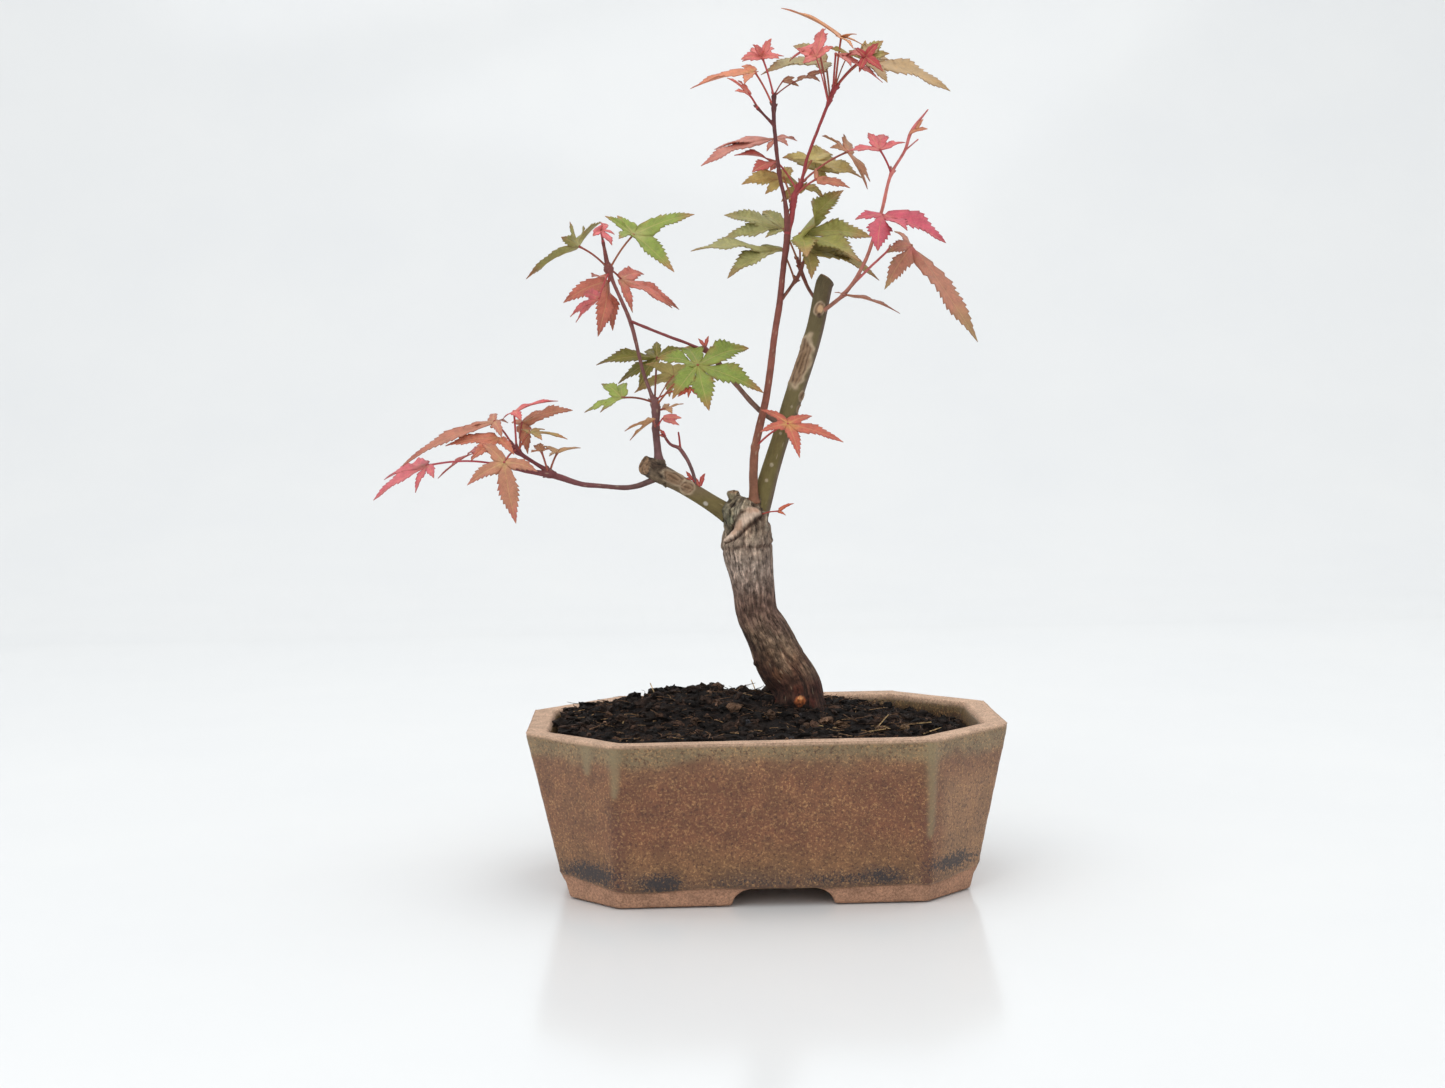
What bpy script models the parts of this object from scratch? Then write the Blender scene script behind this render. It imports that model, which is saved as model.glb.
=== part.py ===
"""A small Japanese maple bonsai in an elongated octagonal stoneware pot.

The origin is on the surface that the pot stands on, under the middle of the
whole object. The pot stands POT_CENTRE_X to the right of it, because the tree
reaches out to the left. +X runs along the pot, +Y to its back and +Z up.
Everything hangs from two empties: "pot_centre" under the middle of the pot, and
"rim_centre" in the plane of its rim, which the soil and the tree are laid out from.
"""

from math import cos, pi, radians, sin, sqrt

import bmesh
import bpy
import numpy as np
from mathutils import Matrix, Vector

MM = 0.001
CLEARANCE = 0.3 * MM

# Pot: an octagonal box with flared sides on a foot ring.
POT_CENTRE_X = 31.0 * MM
RIM_LENGTH = 200.0 * MM
RIM_DEPTH = 135.0 * MM
RIM_CORNER = 36.0 * MM
POT_HEIGHT = 68.0 * MM
END_TAPER = 16.0 * MM
SIDE_TAPER = 8.0 * MM
CORNER_TAPER = 15.0 * MM
WALL = 9.5 * MM
FLOOR = 8.0 * MM
FOOT_HEIGHT = 8.0 * MM
FOOT_WIDTH = 12.0 * MM
FOOT_STEP = 1.0 * MM
ARCH_CENTRE_X = 4.0 * MM
ARCH_BASE = 41.0 * MM
ARCH_TOP = 25.0 * MM
ARCH_HEIGHT = 7.0 * MM

# Drainage: two holes, each under a plastic mesh that a bent wire clips down.
DRAIN_RADIUS = 10.0 * MM
DRAIN_SPACING = 84.0 * MM
MESH_SIDE = 30.0 * MM
MESH_CELLS = 7
MESH_STRAND = 1.0 * MM
WIRE_RADIUS = 0.7 * MM
WIRE_FOOT = 6.0 * MM

# Tree: the trunk's girth scales its radii, a lobe's sinus is where its notch ends, and its lift is
# how far the midrib arches; a leaf under SMALL_LEAF has fewer sections to a lobe. A knot at the hub
# makes one body of the leaves whose lobes cross there.
TRUNK_GIRTH = 1.0
LEAF_THICKNESS = 0.6 * MM
PETIOLE_WIDTH = 0.9 * MM
LEAF_KNOT = 0.8 * MM
KNOTTED_LEAVES = ("leaf_crown_6", "leaf_lower_left_2", "leaf_top_3")
LOBE_SINUS = 0.24
LOBE_LIFT = 0.10
SMALL_LEAF = 18.0 * MM

# Trunk and its two old limbs: (x, y, z, radius) in mm from the rim's centre.
TRUNK_LINE = [
    (18, 0, -34, 7.5), (17, 0, -20, 11.5), (16, 0, -6, 13), (15, 0, 4, 11.6), (14, 1, 13, 10.7),
    (8, 3, 22, 11), (3, 4, 34, 10), (-2, 3, 44, 9.2), (-4, 1, 59, 9.5), (-6, 0, 73, 10.8),
    (-6, 0, 81, 9.8), (-7, 0, 88, 9.4), (-6, 0, 92, 6.5),
]
LEFT_LIMB = [
    (-7, 0, 82, 5.2), (-17, 0, 89, 3.9), (-26, 0, 95, 3.5), (-34, 0, 100, 3.6), (-43, 0, 105, 4.1),
    (-50, 0, 109, 3.6),
]
RIGHT_LIMB = [
    (-2, 2, 84, 5.0), (6, 2, 110, 3.8), (15, 2, 137, 3.9), (24, 2, 164, 3.8), (28.5, 2, 184, 3.7),
    (29.7, 2, 185.6, 3.7),
]
CROWN_STUB = [(-10, -1, 84, 3.0), (-11.5, -1, 96, 2.4)]
LIMB_COLLAR = [(-43.5, 0, 105, 3.0), (-43, 0, 110.2, 2.4)]
SOCKET_RINGS = 5

# Young wood: the wood that each shoot grows from, then its own stem and its side stems. A stem that
# starts on other wood begins at that wood's bark, beside the first point.
SHOOTS = {
    "leader": ("trunk", [
        [(-3, -2, 92, 1.7), (-3, -4, 106, 1.6), (-2, -4, 116, 1.6), (3, -3.5, 137, 1.5),
         (7, -3, 164, 1.4), (9, -2, 175, 1.4), (11, -1, 191, 1.3), (13, 0, 206, 1.5),
         (12, 0, 219, 0.9), (10, 0, 229, 0.85), (8, 0, 250, 0.9), (8, 0, 262, 0.9)],
        [(13, 0, 205, 1.2), (15, 1, 212, 1.2), (16, 2, 220, 1.3), (19, 2, 226, 0.8), (22, 2, 237, 0.7),
         (28, 2, 252, 0.7), (34, 2, 266, 0.8)],
        [(8, 0, 250, 0.7), (1, -2, 257, 0.55)],
    ]),
    "side_twig_of_leader": ("leader", [
        [(9, -2, 176, 0.8), (14.5, 2, 183, 0.75), (18, 5, 188, 0.9), (21, 6, 196, 0.7)],
    ]),
    "side_twig_of_limb": ("trunk", [
        [(26, 2, 175, 0.8), (22, 10, 183, 0.8), (20, 11, 188, 0.9), (18, 11, 194, 0.7)],
    ]),
    "long_twig": ("trunk", [
        [(10, 2, 124, 1.2), (0, 1.5, 131, 1.2), (-9, 0, 141, 1.1), (-18, -1, 152, 1.3),
         (-23, -1, 157.5, 1.2)],
        [(-20.5, -1, 155, 0.8), (-29, 0, 159, 0.7), (-39, 2, 163, 0.65), (-51, 5, 168.2, 0.7)],
    ]),
    "twiglet": ("trunk", [
        [(-27, 0, 96, 0.9), (-29, -1, 106, 0.8), (-34, 0, 115, 0.9), (-38, 0, 117, 0.7),
         (-41, 0, 121.4, 0.6)],
        [(-33.5, 0, 114, 0.5), (-34.5, 0, 122, 0.45)],
    ]),
    "upper_left_shoot": ("trunk", [
        [(-43, 0, 110.2, 1.6), (-44, 2, 123, 1.6), (-44, 3, 133, 1.7), (-46, 4, 139, 0.9),
         (-49, 6, 148, 0.8), (-54, 8, 169, 0.9), (-61, 10, 186, 0.8), (-63, 10, 192, 1.2),
         (-65, 10, 203, 0.6)],
    ]),
    "lower_left_shoot": ("trunk", [
        [(-41, 0, 104, 1.5), (-51, -1, 100, 1.4), (-57, -2, 99, 1.2), (-68, -4, 100, 1.2),
         (-76, -5, 101, 1.3), (-88, -6, 105, 1.6), (-99, -8, 107, 0.9), (-106, -8, 109, 0.8)],
        [(-87, -6, 105, 1.3), (-95, -5, 110, 0.9), (-101, -4, 114, 0.9), (-104, -3, 117, 0.9)],
    ]),
    "right_shoot": ("trunk", [
        [(26, 2, 171, 0.9), (35, -8, 178, 0.9), (40, -9, 184, 0.85), (45, -10, 193, 0.8),
         (48, -10, 201, 0.8), (52, -8, 213, 0.75), (56, -8, 228, 0.7), (62, -7, 238, 0.6),
         (65, -6, 246, 0.8), (72, -6, 255, 0.35)],
        [(35, -8, 178, 0.6), (46, -9, 189, 0.55), (55, -7, 197, 0.5)],
        [(62, -7, 238, 0.4), (67, -12, 242, 0.35)],
    ]),
}

# Leaves: colour, the shoot and the place on it that the petiole grows from, hub of the blade, half
# width of a lobe as a share of its length, and tips of the lobes (mm from the rim's centre).
LEAVES = {
    "leaf_lower_left_1": (
        "pink", "lower_left_shoot", (-107.5, -9, 109), (-140, -10, 110), 0.15,
        [(-136, -20, 105), (-144, -18, 99), (-162, -14, 96), (-159, -2, 104), (-152, 10, 108)]
    ),
    "leaf_lower_left_2": (
        "salmon", "lower_left_shoot", (-104, -3, 119), (-112, -2, 128), 0.13,
        [(-108, -14, 121), (-150, -12, 110), (-127, -2, 124), (-113, 12, 131), (-107, 8, 127)]
    ),
    "leaf_lower_left_3": (
        "orange", "lower_left_shoot", (-102.5, -3.5, 115.5), (-107, -18, 111), 0.17,
        [(-93, -22, 107), (-102, -28, 86), (-122, -24, 102), (-117, -12, 119)]
    ),
    "leaf_lower_left_4": (
        "red", "lower_left_shoot", (-103, -3.3, 116), (-104, 2, 132), 0.13,
        [(-110, 8, 128), (-96, 12, 135), (-85, -2, 136), (-100, -10, 128)]
    ),
    "leaf_lower_left_5": (
        "ochre", "lower_left_shoot", (-101.5, -3.8, 114.5), (-101, 6, 127), 0.15,
        [(-106, 14, 127), (-91, 16, 132), (-79, 2, 132), (-98, -6, 114)]
    ),
    "leaf_lower_left_6": (
        "olive", "lower_left_shoot", (-102.2, -3.6, 115.2), (-97, -8, 123), 0.13,
        [(-101, 0, 124), (-91, 2, 124), (-81, -10, 120), (-91, -20, 120)]
    ),
    "leaf_lower_left_7": (
        "ochre", "lower_left_shoot", (-89, -8, 106.5), (-92, -10, 115), 0.2,
        [(-96, -16, 115), (-94, 0, 118), (-88, -14, 116)]
    ),
    "leaf_lower_left_8": (
        "ochre", "lower_left_shoot", (-88, -5, 107), (-86, 0, 114), 0.13,
        [(-92, 6, 117), (-76, 2, 116), (-89, -8, 113)]
    ),
    "leaf_lower_left_9": (
        "crimson", "lower_left_shoot", (-104, -8, 108.5), (-119, 6, 116), 0.13,
        [(-122, -4, 111), (-137, 4, 104), (-126, 18, 113), (-118, 16, 120)]
    ),
    "leaf_upper_left_1": (
        "green", "upper_left_shoot", (-64, 8, 192), (-75, 4, 201), 0.13,
        [(-97, -6, 187), (-82, -8, 204), (-79, 10, 212), (-73, 22, 210), (-66, 26, 213)]
    ),
    "leaf_upper_left_2": (
        "pink", "upper_left_shoot", (-65, 10, 204), (-66, 8, 208), 0.2,
        [(-69, 0, 205), (-63, 16, 211), (-60, 6, 206), (-61, 0, 201)]
    ),
    "leaf_upper_left_3": (
        "green", "upper_left_shoot", (-61, 10, 192), (-52, 8, 206), 0.14,
        [(-35, -6, 189), (-26, 6, 214), (-59, 18, 215), (-64, 8, 214), (-58, -8, 203)]
    ),
    "leaf_upper_left_4": (
        "salmon", "upper_left_shoot", (-62, 12, 192), (-58, 16, 188), 0.15,
        [(-53, 8, 173), (-36, 14, 175), (-33, 28, 175), (-48, 38, 191)]
    ),
    "leaf_upper_left_5": (
        "salmon", "upper_left_shoot", (-64, 12, 192), (-63, 16, 187), 0.16,
        [(-62, 24, 166), (-68, 8, 163), (-83, 18, 178), (-71, 34, 190)]
    ),
    "leaf_upper_left_6": (
        "pink", "upper_left_shoot", (-64, 8, 190), (-67, 0, 179), 0.17,
        [(-77, 2, 169), (-79, -6, 171), (-73, -12, 181)]
    ),
    "leaf_left_middle_1": (
        "green", "upper_left_shoot", (-42, 1, 134), (-26, -14, 150), 0.16,
        [(-37, -24, 136), (-22, -28, 131), (1, -18, 138), (-4, 0, 157), (-31, 6, 158),
         (-43, -6, 153)]
    ),
    "leaf_left_middle_2": (
        "olive", "upper_left_shoot", (-44, 6, 134), (-43, 12, 154), 0.14,
        [(-51, 6, 141), (-60, 16, 143), (-69, 8, 151), (-48, 26, 157), (-43, 22, 161),
         (-32, 20, 158)]
    ),
    "leaf_left_middle_3": (
        "green", "upper_left_shoot", (-46, 3, 134), (-58, -4, 137), 0.17,
        [(-67, -14, 131), (-74, -2, 131), (-67, 8, 143), (-58, 12, 143)]
    ),
    "leaf_left_middle_4": (
        "orange", "upper_left_shoot", (-45, 0, 124), (-45, -8, 127), 0.16,
        [(-55, -6, 119), (-57, -14, 123), (-51, 4, 126)]
    ),
    "leaf_left_middle_5": (
        "orange", "upper_left_shoot", (-42, 3, 131), (-40, 5, 132), 0.15,
        [(-37, -4, 130), (-32, 6, 134), (-39, 14, 134)]
    ),
    "leaf_on_leader": (
        "red", "leader", (0, -6, 115), (11, -16, 125), 0.13,
        [(15, -28, 111), (-1, -24, 122), (0, -10, 131), (22, -6, 128), (34, -18, 117)]
    ),
    "leaf_centre_1": (
        "green", "side_twig_of_limb", (18, 11, 194), (12, 14, 208), 0.16,
        [(4, 8, 204), (-15, 14, 203), (-13, 22, 215), (4, 28, 217)]
    ),
    "leaf_centre_2": (
        "green", "side_twig_of_leader", (16, 4, 185), (11, 8, 199), 0.14,
        [(-13, -8, 186), (-28, -1, 198), (-5, 20, 198)]
    ),
    "leaf_centre_3": (
        "olive", "side_twig_of_limb", (19, 11, 191), (19, 13, 206), 0.15,
        [(39, 22, 225), (50, 14, 204), (43, -8, 192), (20, -14, 194)]
    ),
    "leaf_centre_4": (
        "olive", "side_twig_of_leader", (21, 6, 196), (21, 2, 199), 0.15,
        [(49, 16, 191), (52, 4, 185), (22, -12, 185)]
    ),
    "leaf_crown_1": (
        "pink", "leader", (10, 0, 231), (9, 10, 246), 0.14,
        [(-23, 4, 234), (-17, 14, 242), (19, 20, 246), (14, 4, 242), (5, 6, 240)]
    ),
    "leaf_crown_2": (
        "red", "leader", (17.5, 2, 223), (9, 6, 236), 0.17,
        [(-9, 2, 238), (-2, -6, 230), (7, 16, 233)]
    ),
    "leaf_crown_3": (
        "olive", "leader", (18.5, 2, 225), (24, 8, 236), 0.2,
        [(12, 12, 238), (33, 22, 241), (46, 6, 228)]
    ),
    "leaf_crown_4": (
        "ochre", "leader", (15.6, 1.5, 217), (12, 6, 229), 0.17,
        [(-6, 3, 226), (4, 5, 222), (16, 14, 234)]
    ),
    "leaf_crown_5": (
        "brown", "leader", (19, 2, 226), (39, 2, 239), 0.15,
        [(29, 12, 247), (31, -4, 240), (40, 20, 247), (47, 0, 223), (49, 8, 227)]
    ),
    "leaf_crown_6": (
        "red", "leader", (16.5, 2, 220), (25, -4, 227), 0.16,
        [(25, -2, 232), (34, -3, 226), (39, -6, 223)]
    ),
    "leaf_top_1": (
        "orange", "leader", (8, 0, 257), (0, -2, 272), 0.15,
        [(-5, -14, 265), (-27, -4, 265), (-5, 8, 276)]
    ),
    "leaf_top_2": (
        "red", "leader", (1, -2, 257), (-3, -8, 262), 0.15,
        [(-9, -16, 262), (-12, -12, 268), (-7, 2, 269)]
    ),
    "leaf_top_3": (
        "pink", "leader", (8, 0, 262), (4, 8, 279), 0.15,
        [(-5, 2, 277), (-2, 14, 282), (1, 22, 286), (8, 20, 286), (13, 8, 280)]
    ),
    "leaf_top_4": (
        "pink", "leader", (31, 2, 259), (26, -8, 282), 0.16,
        [(20, -12, 273), (14, -8, 275), (29, 4, 290), (30, 8, 285)]
    ),
    "leaf_top_5": (
        "olive", "leader", (32, 2, 261), (31, 12, 278), 0.15,
        [(28, -2, 271), (3, 6, 272), (18, 24, 287)]
    ),
    "leaf_top_6": (
        "salmon", "leader", (33, 2, 264), (34, -3, 279), 0.13,
        [(50, -3, 277), (53, -8, 266), (39, -18, 271)]
    ),
    "leaf_top_7": (
        "orange", "leader", (34, 2, 266), (37, 4, 287), 0.09,
        [(12, 8, 300), (43, -2, 287), (47, 8, 284), (41, -8, 280)]
    ),
    "leaf_top_8": (
        "brown", "leader", (33.3, 2, 264.5), (46, 4, 277), 0.14,
        [(53, 16, 286), (60, 22, 280), (83, 4, 264), (55, -8, 266)]
    ),
    "leaf_right_1": (
        "crimson", "right_shoot", (51, -10, 208), (52, -13, 211), 0.16,
        [(40, -16, 209), (48, -28, 195), (60, -30, 203), (78, -14, 199)]
    ),
    "leaf_right_2": (
        "orange", "right_shoot", (56, -7, 198), (65, -4, 199), 0.13,
        [(52, -16, 180), (92, -8, 158), (59, 8, 206), (53, -18, 195)]
    ),
    "leaf_right_3": (
        "salmon", "right_shoot", (35, -9, 178), (36, -14, 178), 0.12,
        [(31, -18, 179), (58, -18, 170), (53, -6, 174)]
    ),
    "leaf_right_4": (
        "crimson", "right_shoot", (56, -8, 229), (51, -12, 238), 0.16,
        [(37, -14, 237), (47, -4, 246), (54, 2, 246), (62, -10, 241)]
    ),
}

# Colour, roughness and metallic value of each material.
FINISHES = {
    "glazed_stoneware": ((0.24, 0.15, 0.09), 0.35, 0.0),
    "potting_soil": ((0.035, 0.022, 0.015), 0.95, 0.0),
    "black_mesh": ((0.02, 0.02, 0.02), 0.6, 0.0),
    "clip_wire": ((0.55, 0.33, 0.2), 0.4, 1.0),
    "old_bark": ((0.22, 0.16, 0.11), 0.85, 0.0),
    "young_bark": ((0.2, 0.06, 0.045), 0.6, 0.0),
    "leaf_green": ((0.24, 0.3, 0.1), 0.6, 0.0),
    "leaf_olive": ((0.34, 0.3, 0.1), 0.6, 0.0),
    "leaf_ochre": ((0.5, 0.28, 0.1), 0.6, 0.0),
    "leaf_brown": ((0.36, 0.2, 0.12), 0.6, 0.0),
    "leaf_orange": ((0.55, 0.2, 0.1), 0.6, 0.0),
    "leaf_salmon": ((0.56, 0.19, 0.13), 0.6, 0.0),
    "leaf_red": ((0.5, 0.1, 0.07), 0.6, 0.0),
    "leaf_pink": ((0.6, 0.14, 0.13), 0.6, 0.0),
    "leaf_crimson": ((0.5, 0.07, 0.08), 0.6, 0.0),
}


# ---------------------------------------------------------------- scene helpers

def clear_scene():
    for thing in list(bpy.data.objects):
        bpy.data.objects.remove(thing, do_unlink=True)


def new_collection(name):
    collection = bpy.data.collections.new(name)
    bpy.context.scene.collection.children.link(collection)
    return collection


def make_material(name):
    colour, roughness, metallic = FINISHES[name]
    material = bpy.data.materials.new(name)
    material.use_nodes = True
    shader = material.node_tree.nodes["Principled BSDF"]
    shader.inputs["Base Color"].default_value = (*colour, 1.0)
    shader.inputs["Roughness"].default_value = roughness
    shader.inputs["Metallic"].default_value = metallic
    return material


def add_object(name, mesh, parent, material=None):
    """Link a mesh as a part, or as a cutter if it has no material."""
    thing = bpy.data.objects.new(name, mesh)
    thing.parent = parent
    if material is None:
        CUTTERS.objects.link(thing)
        thing.hide_render = True
        thing.display_type = "WIRE"
    else:
        PARTS.objects.link(thing)
        mesh.materials.append(MATERIALS[material])
    return thing


def add_empty(name, location, parent=None):
    empty = bpy.data.objects.new(name, None)
    PARTS.objects.link(empty)
    empty.location = location
    empty.parent = parent
    return empty


def boolean(target, operation, cutter):
    modifier = target.modifiers.new(cutter.name, "BOOLEAN")
    modifier.operation = operation
    modifier.solver = "EXACT"
    modifier.object = cutter
    return modifier


def smooth(thing, angle=40.0):
    thing.data.shade_smooth()
    thing.data.set_sharp_from_angle(angle=radians(angle))


def mesh_from_bmesh(name, shape):
    bmesh.ops.recalc_face_normals(shape, faces=shape.faces)
    mesh = bpy.data.meshes.new(name)
    shape.to_mesh(mesh)
    shape.free()
    return mesh


# ---------------------------------------------------------------- shape helpers

def octagon(half_x, half_y, corner, z, spans=(1, 1, 1)):
    """Ring of an oblong with cut corners: spans along its sides, its ends and its corners."""
    side, end, cut = spans
    corners = [
        (half_x, -half_y + corner), (half_x, half_y - corner), (half_x - corner, half_y),
        (-half_x + corner, half_y), (-half_x, half_y - corner), (-half_x, -half_y + corner),
        (-half_x + corner, -half_y), (half_x - corner, -half_y),
    ]
    counts = [end, cut, side, cut, end, cut, side, cut]
    ring = []
    for index, count in enumerate(counts):
        start = Vector((*corners[index], z))
        finish = Vector((*corners[(index + 1) % 8], z))
        ring += [start.lerp(finish, step / count) for step in range(count)]
    return ring


def loft(name, rings):
    """Closed body through rings that have as many points each."""
    shape = bmesh.new()
    rows = [[shape.verts.new(point) for point in ring] for ring in rings]
    for lower, upper in zip(rows, rows[1:]):
        for index in range(len(lower)):
            following = (index + 1) % len(lower)
            shape.faces.new((lower[index], lower[following], upper[following], upper[index]))
    shape.faces.new(list(reversed(rows[0])))
    shape.faces.new(rows[-1])
    return mesh_from_bmesh(name, shape)


def tube_mesh(name, line, resolution, extra=0.0):
    """Mesh of a round tube along (x, y, z, radius) points in mm, capped at both ends."""
    curve = bpy.data.curves.new(name, "CURVE")
    curve.dimensions = "3D"
    curve.bevel_depth = MM
    curve.bevel_resolution = resolution
    curve.use_fill_caps = True
    spline = curve.splines.new("POLY")
    spline.points.add(len(line) - 1)
    for point, (x, y, z, radius) in zip(spline.points, line):
        point.co = (x * MM, y * MM, z * MM, 1.0)
        point.radius = radius + extra / MM
    thing = bpy.data.objects.new(name, curve)
    CUTTERS.objects.link(thing)
    evaluated = thing.evaluated_get(bpy.context.evaluated_depsgraph_get())
    mesh = bpy.data.meshes.new_from_object(evaluated)
    bpy.data.objects.remove(thing)
    shape = bmesh.new()
    shape.from_mesh(mesh)
    bmesh.ops.remove_doubles(shape, verts=shape.verts, dist=0.001 * MM)
    shape.to_mesh(mesh)
    shape.free()
    mesh.name = name
    return mesh


def grown_wood(name, lines, parent, material, resolution):
    """One piece of wood: a main stem and the side stems that grew out of it."""
    stem = add_object(name, tube_mesh(name, lines[0], resolution), parent, material)
    for number, line in enumerate(lines[1:], 1):
        side_name = f"{name}_side_{number}"
        side = add_object(side_name, tube_mesh(side_name, line, resolution), parent)
        boolean(stem, "UNION", side)
    smooth(stem)
    return stem


# ---------------------------------------------------------------- pot

def pot_section(z, inset=0.0):
    """Half length, half depth and corner cut of the pot's outside at height z, moved inwards."""
    drop = 1.0 - z / POT_HEIGHT
    half_x = RIM_LENGTH / 2 - END_TAPER * drop - inset
    half_y = RIM_DEPTH / 2 - SIDE_TAPER * drop - inset
    corner = RIM_CORNER - CORNER_TAPER * drop - inset * (2.0 - sqrt(2.0))
    return half_x, half_y, corner


def floor_top():
    return FOOT_HEIGHT + FLOOR


def drain_places():
    return {"left": -DRAIN_SPACING / 2, "right": DRAIN_SPACING / 2}


def make_pot(parent):
    step_height = 0.6 * MM
    levels = [
        (0.0, FOOT_STEP), (FOOT_HEIGHT - step_height, FOOT_STEP), (FOOT_HEIGHT, 0.0), (POT_HEIGHT, 0.0),
    ]
    rings = [octagon(*pot_section(z, inset), z) for z, inset in levels]
    pot = add_object("pot", loft("pot", rings), parent, "glazed_stoneware")

    cavity_levels = [floor_top(), POT_HEIGHT, POT_HEIGHT + WALL]
    cavity = [octagon(*pot_section(min(z, POT_HEIGHT), WALL), z) for z in cavity_levels]
    boolean(pot, "DIFFERENCE", add_object("pot_cavity", loft("pot_cavity", cavity), parent))

    recess_inset = FOOT_STEP + FOOT_WIDTH
    recess = [octagon(*pot_section(0.0, recess_inset), z) for z in (-FOOT_HEIGHT, FOOT_HEIGHT)]
    boolean(pot, "DIFFERENCE", add_object("foot_recess", loft("foot_recess", recess), parent))

    boolean(pot, "DIFFERENCE", add_object("foot_arch", arch_mesh(), parent))
    for side, x in drain_places().items():
        shape = bmesh.new()
        bmesh.ops.create_cone(shape, cap_ends=True, segments=16, radius1=DRAIN_RADIUS,
                              radius2=DRAIN_RADIUS, depth=4.0 * floor_top())
        hole = add_object(f"drain_hole_{side}", mesh_from_bmesh("drain_hole", shape), parent)
        hole.location.x = x
        boolean(pot, "DIFFERENCE", hole)
    smooth(pot, 20.0)


def arch_mesh():
    """Cutter along Y whose section is a low arch with rounded shoulders."""
    steps = 4
    reach = RIM_DEPTH
    shoulder = (ARCH_BASE - ARCH_TOP) / 2
    outline = [(ARCH_BASE / 2, -ARCH_HEIGHT)]
    for step in range(steps + 1):
        turn = 0.5 * pi * step / steps
        outline.append((ARCH_BASE / 2 - shoulder * (1.0 - cos(turn)), ARCH_HEIGHT * sin(turn)))
    left = [(-x, z) for x, z in reversed(outline)]
    profile = [(x + ARCH_CENTRE_X, z) for x, z in outline + left]
    front = [Vector((x, -reach, z)) for x, z in profile]
    back = [Vector((x, reach, z)) for x, z in profile]
    return loft("foot_arch", [front, back])


def make_drainage(parent):
    mesh_bottom = floor_top() + CLEARANCE
    mesh_top = mesh_bottom + MESH_STRAND
    for side, x in drain_places().items():
        shape = bmesh.new()
        bmesh.ops.create_grid(shape, x_segments=MESH_CELLS, y_segments=MESH_CELLS, size=MESH_SIDE / 2)
        mesh = bpy.data.meshes.new("drain_mesh")
        shape.to_mesh(mesh)
        shape.free()
        screen = add_object(f"drain_mesh_{side}", mesh, parent, "black_mesh")
        screen.location = (x, 0.0, (mesh_bottom + mesh_top) / 2)
        strands = screen.modifiers.new("strands", "WIREFRAME")
        strands.thickness = MESH_STRAND
        strands.use_boundary = True
        strands.use_replace = True
        strands.use_even_offset = False

        clip_top = (mesh_top + CLEARANCE + WIRE_RADIUS) / MM
        clip_foot = (FOOT_HEIGHT - CLEARANCE - WIRE_RADIUS) / MM
        span = MESH_SIDE / MESH_CELLS / MM
        out = (DRAIN_RADIUS + WIRE_FOOT) / MM
        bend = 1.0
        half = [
            (out, 0, clip_foot), (span + bend, 0, clip_foot), (span, 0, clip_foot + bend),
            (span, 0, clip_top - bend), (span - bend, 0, clip_top),
        ]
        line = half + [(-px, py, pz) for px, py, pz in reversed(half)]
        wire = [(*point, WIRE_RADIUS / MM) for point in line]
        clip = add_object(f"mesh_clip_{side}", tube_mesh("mesh_clip", wire, 1), parent, "clip_wire")
        clip.location.x = x
        smooth(clip)


# ---------------------------------------------------------------- soil

def soil_level(x, y):
    """Height of the soil over the rim's plane: a mound left of the trunk, low at the right end."""
    mound = 13.0 * MM * np.exp(-((x + 0.015) / 0.058) ** 2 - ((y - 0.006) / 0.042) ** 2)
    right_end = 5.0 * MM / (1.0 + np.exp(-(x - 0.062) / 0.008))
    return float(mound - right_end) - 4.0 * MM


def make_soil(parent):
    """Root ball that fills the pot; laid out from the rim's centre, like the tree."""
    spans = (6, 3, 2)
    bottom = floor_top() + CLEARANCE - POT_HEIGHT
    rings = []
    for z in (bottom, -12.0 * MM):
        section = pot_section(z + POT_HEIGHT, WALL + CLEARANCE)
        rings.append(octagon(*section, z, spans))
    edge = pot_section(POT_HEIGHT - 10.0 * MM, WALL + CLEARANCE)
    for share in (1.0, 0.86, 0.68, 0.46, 0.22):
        ring = octagon(*[size * share for size in edge], 0.0, spans)
        for point in ring:
            point.z = soil_level(point.x, point.y)
        rings.append(ring)
    soil = add_object("soil", loft("soil", rings), parent, "potting_soil")

    socket_line = trunk_line()[:SOCKET_RINGS]
    x, y, z, radius = socket_line[0]
    socket_line[0] = (x, y, z - CLEARANCE / MM, radius)
    socket = add_object("trunk_socket", tube_mesh("trunk_socket", socket_line, 4, CLEARANCE), parent)
    boolean(soil, "DIFFERENCE", socket)

    for side, place in drain_places().items():
        room = MESH_SIDE + MESH_STRAND + 2.0 * CLEARANCE
        height = 2.0 * (MESH_STRAND + 2.0 * WIRE_RADIUS + 3.0 * CLEARANCE)
        shape = bmesh.new()
        bmesh.ops.create_cube(shape, size=1.0, matrix=Matrix.Diagonal((room, room, height, 1.0)))
        pocket = add_object(f"soil_pocket_{side}", mesh_from_bmesh("soil_pocket", shape), parent)
        pocket.location = (place, 0.0, bottom)
        boolean(soil, "DIFFERENCE", pocket)
    smooth(soil, 35.0)


# ---------------------------------------------------------------- tree

def trunk_line():
    return [(x, y, z, radius * TRUNK_GIRTH) for x, y, z, radius in TRUNK_LINE]


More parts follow.
